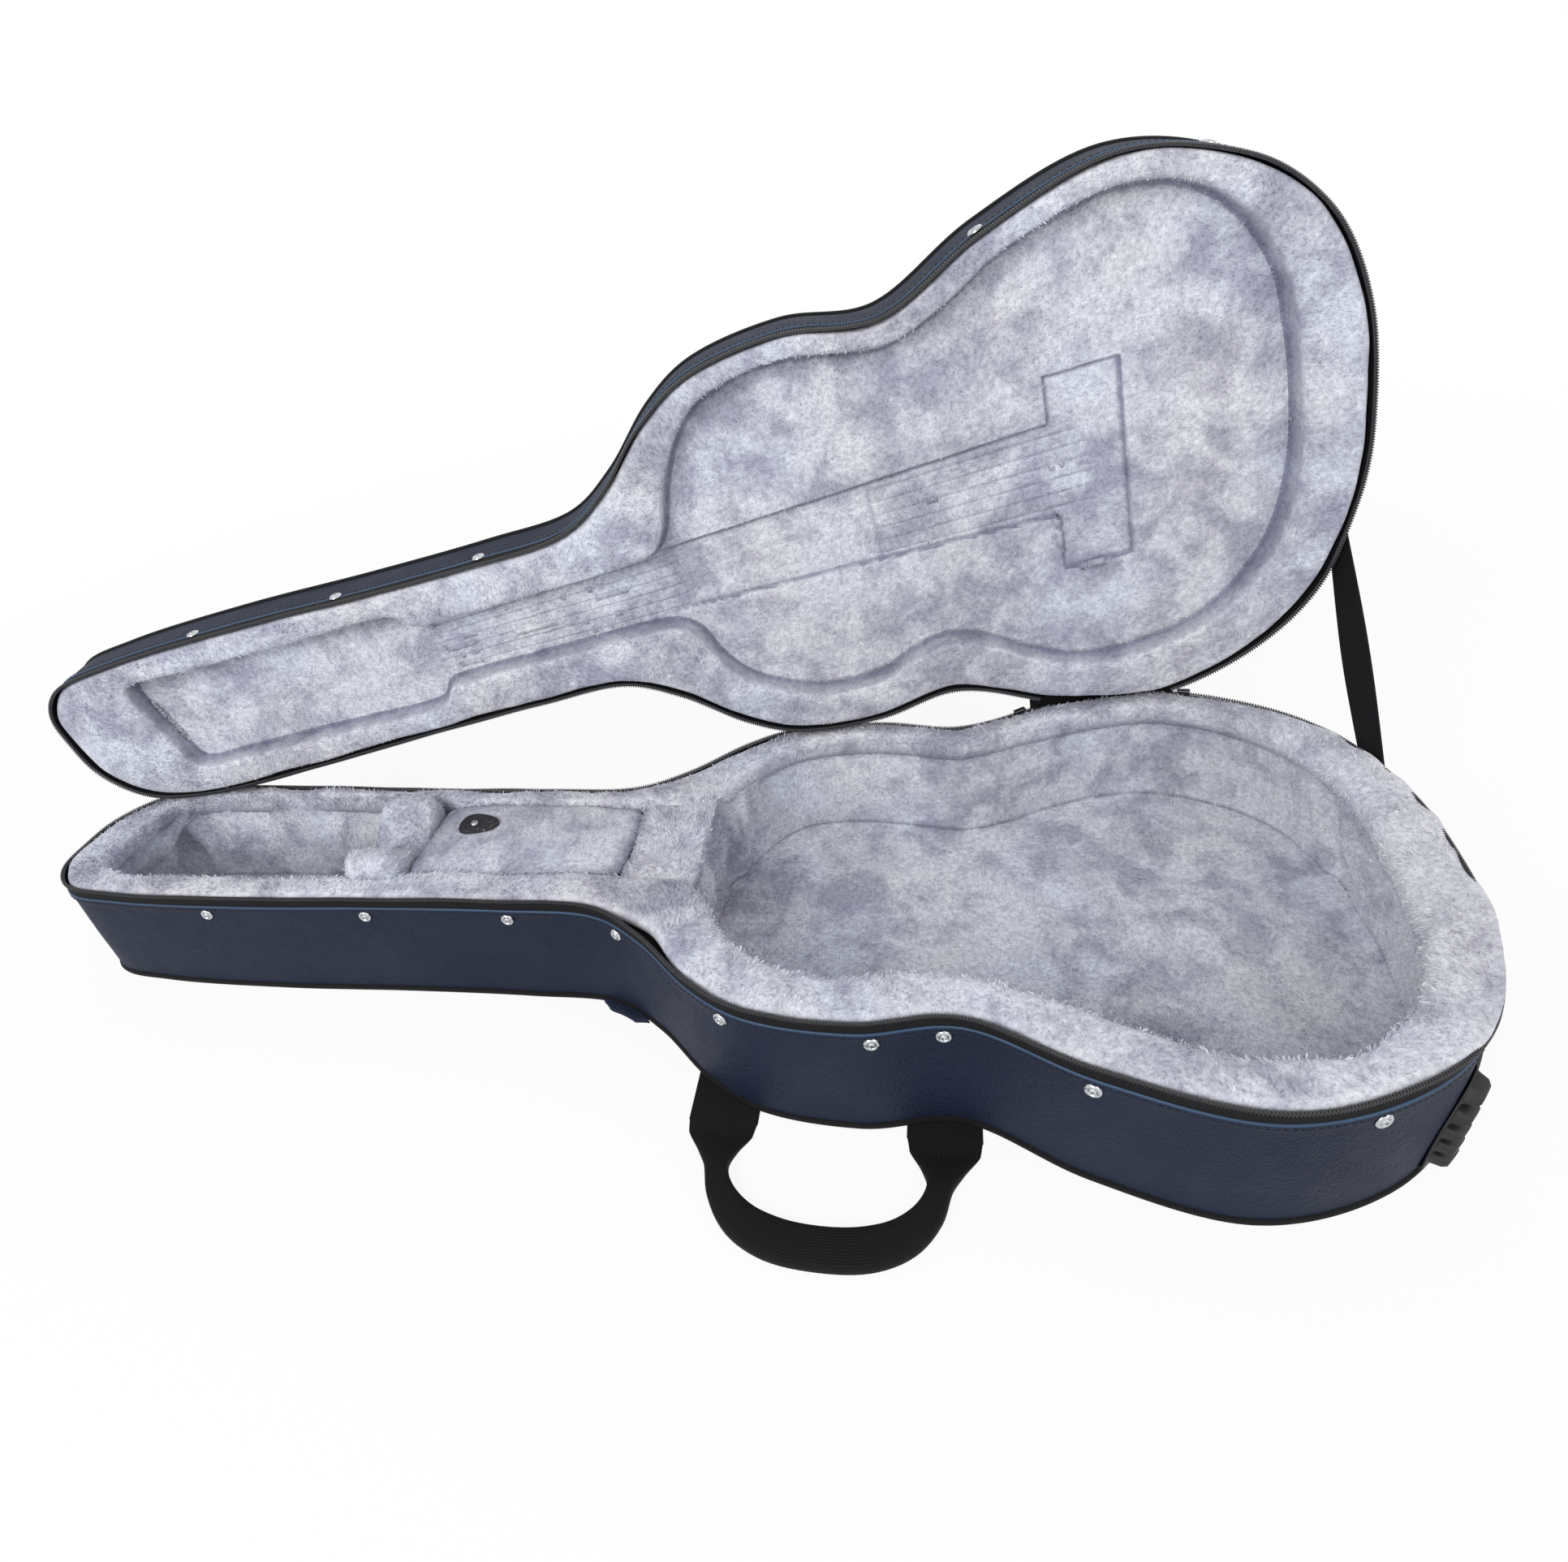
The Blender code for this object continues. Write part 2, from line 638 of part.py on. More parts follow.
def make_handle():
    left, right = HANDLE_LEGS
    reach = WEBBING_WIDTH / 2
    for label, x in (("left", left), ("right", right)):
        low = (x - reach, HANDLE_Y + ANCHOR_SLACK, GAP)
        high = (x + reach, ANCHOR_END_Y, GAP + WEBBING)
        block(f"handle_anchor_{label}", low, high, webbing)
    pivot = make_pivot("handle_pivot", ((left + right) / 2, HANDLE_Y, HANDLE_Z))
    path = [(left + x, y, a, w, t) for x, y, a, w, t in HANDLE_PATH]
    path += [(right - x, y, -a, w, t) for x, y, a, w, t in reversed(HANDLE_PATH[:-1])]
    sections = []
    for x, y, angle, width, thickness in path:
        turn = math.radians(angle)
        across = Vector((-math.sin(turn), math.cos(turn), 0))
        centre = Vector((x, y, GAP + thickness / 2))
        sections.append(strip_section(centre, across, UP, width, thickness))
    hang(loft("carry_handle", sections, webbing), pivot)


def make_stay_strap():
    # a flat strap from the base's side up to the open lid's side, and a sewn patch at each end
    point, direction = station(STRAP_X, 1)
    normal = outward(direction).to_3d()
    foot = point.to_3d() + normal * STRAP_STANDOFF
    across = direction.to_3d()
    swing = lid_swing.to_3x3()
    low = foot + UP * STRAP_RISE[0]
    high = lid_swing @ (foot + UP * STRAP_RISE[1])
    sections = []
    for i in range(STRAP_PIECES):
        share = i / (STRAP_PIECES - 1)
        width_way = across.lerp(swing @ across, share)
        depth_way = normal.lerp(swing @ normal, share)
        sections.append(strip_section(low.lerp(high, share), width_way, depth_way, STRAP_WIDTH, WEBBING))
    loft("stay_strap", sections, webbing)
    patch = strip_section(foot, across, normal, STRAP_WIDTH, WEBBING)
    loft("strap_anchor_base", raised(patch, BASE_PATCH), webbing)
    return loft("strap_anchor_lid", raised(patch, LID_PATCH), webbing)


def raised(section, heights):
    return [[corner + UP * z for corner in section] for z in heights]


def make_hinge_tape():
    # a cloth gusset from the base's zip tape up and back under the open lid's side
    run = side_run(*HINGE_TAPE_SPAN, 1, HINGE_TAPE_STANDOFF)
    rows = [at_height(run, z) for z in HINGE_TAPE_BASE]
    rows += [[lid_swing @ place for place in at_height(run, z)] for z in HINGE_TAPE_LID]
    bm = bmesh.new()
    grid = [[bm.verts.new(v) for v in row] for row in rows]
    for row, following in zip(grid, grid[1:]):
        for k in range(len(row) - 1):
            bm.faces.new((row[k], row[k + 1], following[k + 1], following[k]))
    mesh = bpy.data.meshes.new("hinge_tape")
    bm.to_mesh(mesh)
    bm.free()
    tape = add_object("hinge_tape", mesh, webbing)
    thicken(tape, TAPE, offset=0)


def make_sliders():
    # the zip's two sliders stand at the ends of the hinge tape, each with a hanging puller
    tape_from, tape_to = HINGE_TAPE_SPAN
    length, thickness, height = SLIDER
    for label, x in (("front", tape_from - SLIDER_TO_TAPE), ("rear", tape_to + SLIDER_TO_TAPE)):
        point, along = station(x, 1)
        normal = outward(along).to_3d()
        along = along.to_3d()
        centre = point.to_3d() - normal * TEETH_INSET + UP * (BASE_RIM + 0.0006)
        ends = [centre - along * length / 2, centre + along * length / 2]
        body = [strip_section(end, normal, UP, thickness, height) for end in ends]
        loft(f"zip_slider_{label}", body, steel)
        place = point.to_3d() + normal * PULLER_STANDOFF + UP * (BASE_RIM - 0.0010)
        pivot = make_pivot(f"puller_pivot_{label}", place)
        hanging = [
            strip_section(place - UP * drop, along, normal, width, PULLER_THICKNESS)
            for drop, width in PULLER_OUTLINE
        ]
        hang(loft(f"zip_puller_{label}", hanging, steel), pivot)


def make_shoulder_tab():
    inner = side_run(TAB_INNER[0], TAB_INNER[1], -1, TAB_INNER[2])
    outer = side_run(TAB_OUTER[0], TAB_OUTER[1], -1, TAB_OUTER[2])
    plate("shoulder_tab", [outer + inner[::-1]], TAB_HEIGHTS, navy)


# Lid, modelled closed

def lid_recess():
    near, far = mirrored(LID_HEAD_RECESS + LID_CHANNEL + CAVITY_OUTLINE[1:])
    return [Vector(p) for p in [(RECESS_HEAD_END, 0.0)] + near + [(CAVITY_TAIL_END, 0.0)] + far]


def make_lid():
    recess = lid_recess()
    inside = offset_ring(outline, WALL_INSET)
    seam = at_height(offset_ring(outline, BINDING_INSET), LID_BINDING_HEIGHT)
    rim = [offset_ring(outline, RIM_INSET), recess]
    foam_rim = [inside, offset_ring(recess, -LINING / 2)]
    foam_rim_heights = (LID_RIM + RIM_PAD + GAP, LID_FOAM_RIM_TOP)
    recess_floor = offset_ring(recess, -LINING / 4)
    pieces = [
        shell_wall("lid_side_cover", outline, LID_COVER, COVER, navy),
        plate("lid_front_cover", [offset_ring(outline, BACK_INSET)], (LID_FRONT_LOW, LID_TOP), navy),
        tube("lid_binding", seam, BINDING_RADIUS, webbing),
        plate("lid_rim_lining", rim, (LID_RIM + GAP, LID_RIM + RIM_PAD), plush),
        plate("lid_foam_rim", foam_rim, foam_rim_heights, foam),
        plate("lid_recess_lining", [recess_floor], RECESS_LINING, plush),
        plate("lid_foam_panel", [inside], LID_PANEL, foam),
    ]
    pieces += make_zip("lid", LID_TAPE, LID_RIM + TEETH_TO_RIM)
    for i, x in enumerate(LID_STUD_STATIONS):
        pieces.append(make_stud(f"lid_stud_{i + 1}", x, LID_RIM + LID_STUD_DROP))
    return pieces


def make_base():
    make_base_shell()
    make_zip("base", BASE_TAPE, BASE_RIM - TEETH_TO_RIM)
    make_linings()
    make_neck_rest()
    make_accessory_box()
    for i, x in enumerate(STUD_STATIONS):
        make_stud(f"base_stud_{i + 1}", x, BASE_RIM - STUD_DROP)
    make_tail_guard("tail_guard_near", -1, NEAR_RIDGES, NEAR_GUARD_TOP)
    make_tail_guard("tail_guard_far", 1, FAR_RIDGES, FAR_GUARD_TOP)
    make_handle()
    make_hinge_tape()
    make_sliders()
    make_shoulder_tab()


def swing_lid(pieces):
    pivot = bpy.data.objects.new("lid_pivot", None)
    pivot.matrix_world = Matrix.Translation(hinge_point) @ Matrix.Rotation(-LID_OPEN, 4, hinge_line)
    parts.objects.link(pivot)
    for piece in pieces:
        piece.parent = pivot
        piece.matrix_parent_inverse = Matrix.Translation(-hinge_point)


def centre_on_origin():
    loose = [obj for obj in bpy.data.objects if obj.parent is None]
    middle = make_pivot("case_middle", (-LENGTH / 2, 0, 0))
    for obj in loose:
        obj.parent = middle


make_base()
swing_lid(make_lid() + [make_stay_strap()])
centre_on_origin()
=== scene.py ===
# Classical guitar light case, open, seen from above its near side.
# Metres, +Z up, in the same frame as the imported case: the middle of its length is over the origin.
# Long outlines are written in millimetres, and metres() turns them.
# Pieces are drawn with the head end at x = 0, the near side at -y and the lid closed. Each is then moved
# onto the frame, and the lid's pieces are swung open first.
import math
from bisect import bisect_right

import bmesh
import bpy
from mathutils import Matrix, Vector, noise
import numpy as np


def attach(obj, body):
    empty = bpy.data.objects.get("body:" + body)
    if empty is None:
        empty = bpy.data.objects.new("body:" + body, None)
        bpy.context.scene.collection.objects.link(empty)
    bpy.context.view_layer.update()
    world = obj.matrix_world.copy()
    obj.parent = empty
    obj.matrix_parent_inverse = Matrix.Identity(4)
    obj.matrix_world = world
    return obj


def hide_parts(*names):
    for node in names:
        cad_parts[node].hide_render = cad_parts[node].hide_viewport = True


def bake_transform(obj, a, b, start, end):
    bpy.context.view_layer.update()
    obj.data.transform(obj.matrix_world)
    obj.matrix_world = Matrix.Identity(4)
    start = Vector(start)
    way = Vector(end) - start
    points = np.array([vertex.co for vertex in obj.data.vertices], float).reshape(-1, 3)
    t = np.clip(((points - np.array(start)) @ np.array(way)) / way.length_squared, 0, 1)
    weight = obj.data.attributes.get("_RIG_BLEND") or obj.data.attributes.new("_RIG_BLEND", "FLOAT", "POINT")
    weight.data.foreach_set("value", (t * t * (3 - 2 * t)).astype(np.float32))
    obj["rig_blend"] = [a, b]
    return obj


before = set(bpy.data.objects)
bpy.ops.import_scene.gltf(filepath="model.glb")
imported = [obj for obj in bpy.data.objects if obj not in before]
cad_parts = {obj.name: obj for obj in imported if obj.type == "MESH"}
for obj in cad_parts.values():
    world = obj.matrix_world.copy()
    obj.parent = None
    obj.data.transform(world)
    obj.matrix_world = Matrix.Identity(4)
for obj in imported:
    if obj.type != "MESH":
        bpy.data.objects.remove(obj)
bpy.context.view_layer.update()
print("frame loaded")


# Objects, nodes and materials

def metres(rows):
    return [tuple(value / 1000 for value in row) for row in rows]


def meshFrom(name, bm):
    mesh = bpy.data.meshes.new(name)
    bm.to_mesh(mesh)
    bm.free()
    return mesh


def addObject(name, data):
    added = bpy.data.objects.new(name, data)
    bpy.context.scene.collection.objects.link(added)
    return added


def fill(node, sockets):
    # each socket takes a value, another node's output, or a node for its first output
    for name, value in sockets.items():
        socket = node.inputs[name]
        if isinstance(value, bpy.types.Node):
            value = value.outputs[0]
        if isinstance(value, bpy.types.NodeSocket):
            node.id_data.links.new(value, socket)
        elif socket.type == "RGBA":
            socket.default_value = (*value, 1)
        else:
            socket.default_value = value


def addNode(tree, kind, sockets=None, **properties):
    node = tree.nodes.new(kind)
    for name, value in properties.items():
        setattr(node, name, value)
    fill(node, sockets or {})
    return node


def mathOf(tree, operation, first, second):
    return addNode(tree, "ShaderNodeMath", {0: first, 1: second}, operation=operation)


def newMaterial(name, colour, roughness, metallic=0.0):
    material = bpy.data.materials.new(name)
    material.use_nodes = True
    shader = material.node_tree.nodes["Principled BSDF"]
    fill(shader, {"Base Color": colour, "Roughness": roughness, "Metallic": metallic})
    return material, material.node_tree, shader


# Camera, floor and lights

cameraSettings = {
    "place": (0.2281, -0.5203, 0.5719),
    "azimuth": 17.179,
    "elevation": 33.5842,
    "roll": -10.7339,
    "sensorWidth": 36,
    "clipStart": 0.01,
    "focalPixels": 1163.79,
    "centrePixel": (883.58, 902.15),    # where the lens axis meets the photograph
    "imageSize": (1932, 1924),
}


def makeCamera(settings):
    width, height = settings["imageSize"]
    centreX, centreY = settings["centrePixel"]
    data = bpy.data.cameras.new("camera")
    data.sensor_width = settings["sensorWidth"]
    data.lens = settings["focalPixels"] / width * data.sensor_width
    data.shift_x = (width / 2 - centreX) / width
    data.shift_y = (centreY - height / 2) / width
    data.clip_start = settings["clipStart"]
    camera = addObject("camera", data)
    azimuth, elevation, roll = (math.radians(settings[k]) for k in ("azimuth", "elevation", "roll"))
    back = Vector((math.sin(azimuth) * math.cos(elevation), -math.cos(azimuth) * math.cos(elevation),
                   math.sin(elevation)))
    right = Vector((math.cos(azimuth), math.sin(azimuth), 0))
    up = back.cross(right)
    turnedRight = right * math.cos(roll) + up * math.sin(roll)
    turnedUp = up * math.cos(roll) - right * math.sin(roll)
    turn = Matrix((turnedRight, turnedUp, back)).transposed().to_4x4()
    camera.matrix_world = Matrix.Translation(settings["place"]) @ turn
    bpy.context.scene.camera = camera


stageSettings = {
    "floorSize": 14.0,
    "floorColour": (0.86, 0.86, 0.87),
    "floorRoughness": 0.9,
    "floorWhite": (0.90, 0.7, 1.9),     # share of plain white at the case, and the radii where it grows to 1
    "worldStrength": 0.62,
    "lamps": [                          # name, place, size, watts
        ("key", (-0.9, -2.1, 1.9), 1.3, 44),
        ("fill", (1.9, -1.1, 1.7), 1.8, 12),
        ("back", (0.2, 2.2, 2.1), 1.8, 6),
    ],
}


def seenDirectly(tree):
    # 1 for camera, glossy and transmission rays, which see plain white behind the case
    rays = addNode(tree, "ShaderNodeLightPath").outputs
    seen = mathOf(tree, "MAXIMUM", rays["Is Camera Ray"], rays["Is Glossy Ray"])
    return mathOf(tree, "MAXIMUM", seen, rays["Is Transmission Ray"])


def makeWorld(settings):
    world = bpy.data.worlds.new("studio")
    world.use_nodes = True
    tree = world.node_tree
    tree.nodes.clear()
    soft = addNode(tree, "ShaderNodeBackground", {"Color": (1, 1, 1), "Strength": settings["worldStrength"]})
    white = addNode(tree, "ShaderNodeBackground", {"Color": (1, 1, 1)})
    mix = addNode(tree, "ShaderNodeMixShader", {0: seenDirectly(tree), 1: soft, 2: white})
    addNode(tree, "ShaderNodeOutputWorld", {"Surface": mix})
    bpy.context.scene.world = world


def makeFloor(settings):
    bm = bmesh.new()
    bmesh.ops.create_grid(bm, x_segments=1, y_segments=1, size=settings["floorSize"] / 2)
    floor = addObject("floor", meshFrom("floor", bm))
    material, tree, shader = newMaterial("paleFloor", settings["floorColour"], settings["floorRoughness"])
    share, near, far = settings["floorWhite"]
    where = addNode(tree, "ShaderNodeTexCoord").outputs["Object"]
    reach = addNode(tree, "ShaderNodeVectorMath", {0: where}, operation="LENGTH").outputs["Value"]
    fade = addNode(tree, "ShaderNodeMapRange", {"Value": reach, "From Min": near, "From Max": far,
                                                "To Min": share, "To Max": 1},
                   interpolation_type="SMOOTHSTEP")
    shown = mathOf(tree, "MULTIPLY", seenDirectly(tree), fade)
    white = addNode(tree, "ShaderNodeEmission")
    mix = addNode(tree, "ShaderNodeMixShader", {0: shown, 1: shader, 2: white})
    fill(tree.nodes["Material Output"], {"Surface": mix})
    floor.data.materials.append(material)


def makeLamps(settings):
    for name, place, size, watts in settings["lamps"]:
        data = bpy.data.lights.new(name, "AREA")
        data.size = size
        data.energy = watts
        lamp = addObject(name, data)
        lamp.location = place
        lamp.rotation_euler = (-Vector(place)).to_track_quat("-Z", "Y").to_euler()


bpy.context.scene.view_settings.view_transform = "Standard"
makeCamera(cameraSettings)
makeWorld(stageSettings)
makeFloor(stageSettings)
makeLamps(stageSettings)
print("camera, floor and lights made")


# Outlines, seen from above, anticlockwise from the head's tip along the near side to the tail and back

def bothSides(side, tail):
    # the near side from head to tail, the tail, and the far side back, from the points of the far side
    return [(x, -y) for x, y in side] + [tail] + side[::-1]


caseSettings = {
    "length": 1.066,
    "headPlace": -0.533,                # x of the head end in the frame
    "baseRim": 0.1078,
    "lidRim": 0.1108,
    "lidTop": 0.1598,
    "side": metres([(80, 70), (203, 71.5), (320, 67.5), (428, 66), (503, 69), (544, 92), (589, 131),
                    (627, 151), (697, 158), (761, 148), (834, 179), (918, 197), (988, 174), (1034, 132),
                    (1060, 67)]),
    "headNear": metres([(3, -40), (24, -62)]),
    "headFar": metres([(30, 55), (4, 24)]),
    "headTip": (0.0, -0.010),
    # places that line up on every ring, with the number of points from each to the next
    "keys": metres([(0, -10)] + bothSides([(80, 70), (290, 68), (510, 71), (575, 118), (697, 158), (761, 148),
                                           (918, 197), (1034, 132)], (1066, 0))),
    "counts": [26, 48, 50, 20, 32, 16, 40, 32, 34, 34, 32, 40, 16, 32, 20, 50, 48, 26],
    # hinge line of the lid
    "hingePoint": (0.774225, 0.168439, 0.1244),
    "hingeLine": (0.988494, 0.151261, 0.0),
    "lidOpen": 90,
}

baseRim = caseSettings["baseRim"]
lidRim = caseSettings["lidRim"]
lidTop = caseSettings["lidTop"]
upward = Vector((0, 0, 1))
ontoFrame = Matrix.Translation((caseSettings["headPlace"], 0, 0))
hingePoint = Vector(caseSettings["hingePoint"])
lidSwing = (Matrix.Translation(hingePoint)
            @ Matrix.Rotation(math.radians(-caseSettings["lidOpen"]), 4, Vector(caseSettings["hingeLine"]))
            @ Matrix.Translation(-hingePoint))


def splineSpan(p, steps):
    # the span between the second and third of four points of a centripetal spline, without its end
    knots = [0.0]
    for k in range(3):
        knots.append(knots[-1] + (p[k + 1] - p[k]).length ** 0.5)
    places = []
    for step in range(steps):
        t = knots[1] + (knots[2] - knots[1]) * step / steps
        first = [p[k].lerp(p[k + 1], (t - knots[k]) / (knots[k + 1] - knots[k])) for k in range(3)]
        second = [first[k].lerp(first[k + 1], (t - knots[k]) / (knots[k + 2] - knots[k])) for k in range(2)]
        places.append(second[0].lerp(second[1], (t - knots[1]) / (knots[2] - knots[1])))
    return places


def smoothRing(points, steps=12):
    points = [Vector(p) for p in points]
    count = len(points)
    ring = []
    for i in range(count):
        ring += splineSpan([points[(i + k) % count] for k in (-1, 0, 1, 2)], steps)
    return ring


def smoothRun(points, steps=8):
    # an open spline: the ends are continued straight
    points = [Vector(p) for p in points]
    points = [points[0] * 2 - points[1]] + points + [points[-1] * 2 - points[-2]]
    run = []
    for i in range(1, len(points) - 2):
        run += splineSpan(points[i - 1:i + 3], steps)
    return run + [points[-2]]


def lengthsOf(run, closed):
    total = [0.0]
    following = run[1:] + run[:1] if closed else run[1:]
    for a, b in zip(run, following):
        total.append(total[-1] + (b - a).length)
    return total


def placeAt(run, total, distance):
    i = min(max(bisect_right(total, distance) - 1, 0), len(total) - 2)
    share = (distance - total[i]) / max(total[i + 1] - total[i], 1e-9)
    return run[i].lerp(run[(i + 1) % len(run)], share)


def evenRun(run, count, closed=False):
    total = lengthsOf(run, closed)
    last = count if closed else count - 1
    return [placeAt(run, total, total[-1] * i / last) for i in range(count)]


def keyedRing(points, keys, counts):
    # a smooth ring with its key places at the same indices as every other ring's
    ring = smoothRing(points)
    total = lengthsOf(ring, True)
    marks = [total[min(range(len(ring)), key=lambda i: (ring[i] - Vector(k)).length)] for k in keys]
    out = []
    for i, mark in enumerate(marks):
        span = (marks[(i + 1) % len(marks)] - mark) % total[-1]
        for step in range(counts[i]):
            out.append(placeAt(ring, total, (mark + span * step / counts[i]) % total[-1]))
    return out


def ringNormals(ring):
    # outward, square to the ring, which runs anticlockwise
    normals = []
    for i in range(len(ring)):
        along = ring[(i + 1) % len(ring)] - ring[i - 1]
        normals.append(Vector((along.y, -along.x)).normalized())
    return normals


def insetRing(ring, distance):
    return [p - n * distance for p, n in zip(ring, ringNormals(ring))]


outlinePoints = ([caseSettings["headTip"]] + caseSettings["headNear"]
                 + bothSides(caseSettings["side"], (caseSettings["length"], 0.0)) + caseSettings["headFar"])
outline = keyedRing(outlinePoints, caseSettings["keys"], caseSettings["counts"])
outlineNormals = ringNormals(outline)
fineOutline = smoothRing(outlinePoints, 24)
fineNormals = ringNormals(fineOutline)
halfway = len(outline) // 2


def sideSpan(xFrom, xTo, side):
    # indices of the outline between two places, on the near (-1) or far (+1) side
    return [i for i, p in enumerate(outline) if xFrom <= p.x <= xTo and p.y * side > 0]


def sidePlace(x, side, height, out=0.0):
    # where the case's side is at x: a matrix whose z axis points outward and y axis up
    onSide = [i for i, p in enumerate(fineOutline) if p.y * side > 0]
    best = min(onSide, key=lambda i: abs(fineOutline[i].x - x))
    normal = fineNormals[best].to_3d()
    place = fineOutline[best].to_3d() + normal * out + upward * height
    turn = Matrix((upward.cross(normal), upward, normal)).transposed().to_4x4()
    return Matrix.Translation(place) @ turn


def atHeight(ring, z):
    return [Vector((p.x, p.y, z)) for p in ring]


# Mesh helpers

def gridSkin(rows, closed=False):
    # a skin of quads through rows of points; closed joins the end of every row to its start
    bm = bmesh.new()
    bm.loops.layers.uv.new("flat")
    cloth = bm.loops.layers.uv.new("cloth")
    rowShare = bm.verts.layers.float.new("row")
    columns = len(rows[0]) + (1 if closed else 0)
    bmesh.ops.create_grid(bm, x_segments=columns - 1, y_segments=len(rows) - 1, size=0.5, calc_uvs=True)
    bm.verts.ensure_lookup_table()
    along = lengthsOf(rows[len(rows) // 2], closed)
    across = lengthsOf([row[len(row) // 3] for row in rows], False)
    flat = bm.loops.layers.uv["flat"]
    for face in bm.faces:
        for loop in face.loops:
            i = round(loop[flat].uv.x * (columns - 1))
            j = round(loop[flat].uv.y * (len(rows) - 1))
            loop[cloth].uv = (along[i], across[j])
    for j, row in enumerate(rows):
        for i in range(columns):
            bm.verts[j * columns + i].co = row[i % len(row)]
            bm.verts[j * columns + i][rowShare] = j / (len(rows) - 1)
    if closed:
        seam = [bm.verts[j * columns + i] for j in range(len(rows)) for i in (0, columns - 1)]
        bmesh.ops.remove_doubles(bm, verts=seam, dist=1e-6)
    return bm


def faceTowards(bm, seenFrom):
    # turns an open skin so that its faces look at a place
    bm.normal_update()
    place = Vector(seenFrom)
    looks = sum(f.normal.dot(place - f.calc_center_median()) * f.calc_area() for f in bm.faces)
    if looks < 0:
        bmesh.ops.reverse_faces(bm, faces=bm.faces)
    bm.normal_update()


def faceOutward(bm):
    faceTowards(bm, (0.6, 0, 0.06))
    bmesh.ops.reverse_faces(bm, faces=bm.faces)


def liftAll(bm, liftOf):
    # moves every point along its normal
    bm.normal_update()
    moves = [vert.normal * liftOf(vert.co) for vert in bm.verts]
    for vert, move in zip(bm.verts, moves):
        vert.co += move


def roughen(bm, layers, weight=None):
    # lifts the surface by soft noise, given as the size and height of each layer
    bm.normal_update()
    moves = []
    for vert in bm.verts:
        lift = sum(height * noise.noise(vert.co / size) for size, height in layers)
        moves.append(vert.normal * lift * (weight(vert.co) if weight else 1))
    for vert, move in zip(bm.verts, moves):
        vert.co += move


def smoothStep(value, low, high):
    share = min(max((value - low) / (high - low), 0), 1)
    return share * share * (3 - 2 * share)


def bump(value, centre, width):
    # 1 at the centre, fading to 0 at the width
    return 1 - smoothStep(abs(value - centre), 0, width)


def camelName(name):
    words = name.split("_")
    return words[0] + "".join(word[:1].upper() + word[1:] for word in words[1:])


def setNap(bm, growth, shade):
    # growth of the pile and painted shade at each place, from 0 to 1; the shade is kept in the crease
    # attribute
    grow = bm.verts.layers.float.new("grow")
    crease = bm.verts.layers.float.new("crease")
    for vert in bm.verts:
        vert[grow] = growth(vert)
        vert[crease] = shade(vert)


def finishPiece(name, bm, materials, body, standsForNode=True, sharp=None):
    # puts a piece on the frame; a piece with no body is blended between two bodies afterwards
    place = ontoFrame @ lidSwing if body == "lid" else ontoFrame
    bmesh.ops.transform(bm, matrix=place, verts=bm.verts)
    mesh = meshFrom(camelName(name), bm)
    mesh.shade_smooth()
    if sharp:
        mesh.set_sharp_from_angle(angle=math.radians(sharp))
    for material in materials if isinstance(materials, list) else [materials]:
        mesh.materials.append(material)
    piece = addObject(mesh.name, mesh)
    if body:
        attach(piece, body)
    if standsForNode:
        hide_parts(name)
    return piece


def thicken(piece, thickness, offset=-1):
    solid = piece.modifiers.new("thickness", "SOLIDIFY")
    solid.thickness = thickness
    solid.offset = offset
    solid.use_even_offset = False


def closedBody(bm):
    bmesh.ops.remove_doubles(bm, verts=bm.verts, dist=1e-6)
    bmesh.ops.recalc_face_normals(bm, faces=bm.faces)


def ringSkin(rows):
    # sections that close on themselves, such as a strap's, with both ends capped
    bm = gridSkin(rows, closed=True)
    bmesh.ops.holes_fill(bm, edges=[e for e in bm.edges if e.is_boundary], sides=0)
    closedBody(bm)
    return bm


def tubeSkin(rows, closed):
    # a tube along its rows, which go round it
    bm = gridSkin(rows + rows[:1], closed=closed)
    closedBody(bm)
    return bm


def spanSheet(ring, rowsAcross, height):
    # a sheet across a ring whose first point and middle point are its two ends
    half = len(ring) // 2
    near = ring[:half + 1]
    far = [ring[-i % len(ring)] for i in range(half + 1)]
    rows = []
    for k in range(rowsAcross + 1):
        row = [a.lerp(b, k / rowsAcross) for a, b in zip(near, far)]
        rows.append([Vector((p.x, p.y, height(p))) for p in row])
    bm = gridSkin(rows)
    bmesh.ops.remove_doubles(bm, verts=bm.verts, dist=1e-5)
    return bm


def flatPlate(ring, low, high):
    # a plate with a given edge
    bm = bmesh.new()
    face = bm.faces.new([bm.verts.new((p.x, p.y, low)) for p in ring])
    grown = bmesh.ops.extrude_face_region(bm, geom=[face])
    top = [v for v in grown["geom"] if isinstance(v, bmesh.types.BMVert)]
    bmesh.ops.translate(bm, verts=top, vec=(0, 0, high - low))
    bmesh.ops.recalc_face_normals(bm, faces=bm.faces)
    return bm


def softEdges(bm, width, segments=3, angle=40):
    edges = [e for e in bm.edges if not e.is_boundary and e.calc_face_angle(0) > math.radians(angle)]
    bmesh.ops.bevel(bm, geom=edges, offset=width, offset_type="OFFSET", affect="EDGES", segments=segments,
                    profile=0.5, material=-1, clamp_overlap=True)


def spinProfile(bm, profile, steps):
    # turns a profile of (radius, height) about Z
    verts = [bm.verts.new((radius, 0, z)) for radius, z in profile]
    edges = [bm.edges.new(pair) for pair in zip(verts, verts[1:])]
    bmesh.ops.spin(bm, geom=verts + edges, cent=(0, 0, 0), axis=(0, 0, 1), angle=math.tau, steps=steps,
                   use_merge=True)


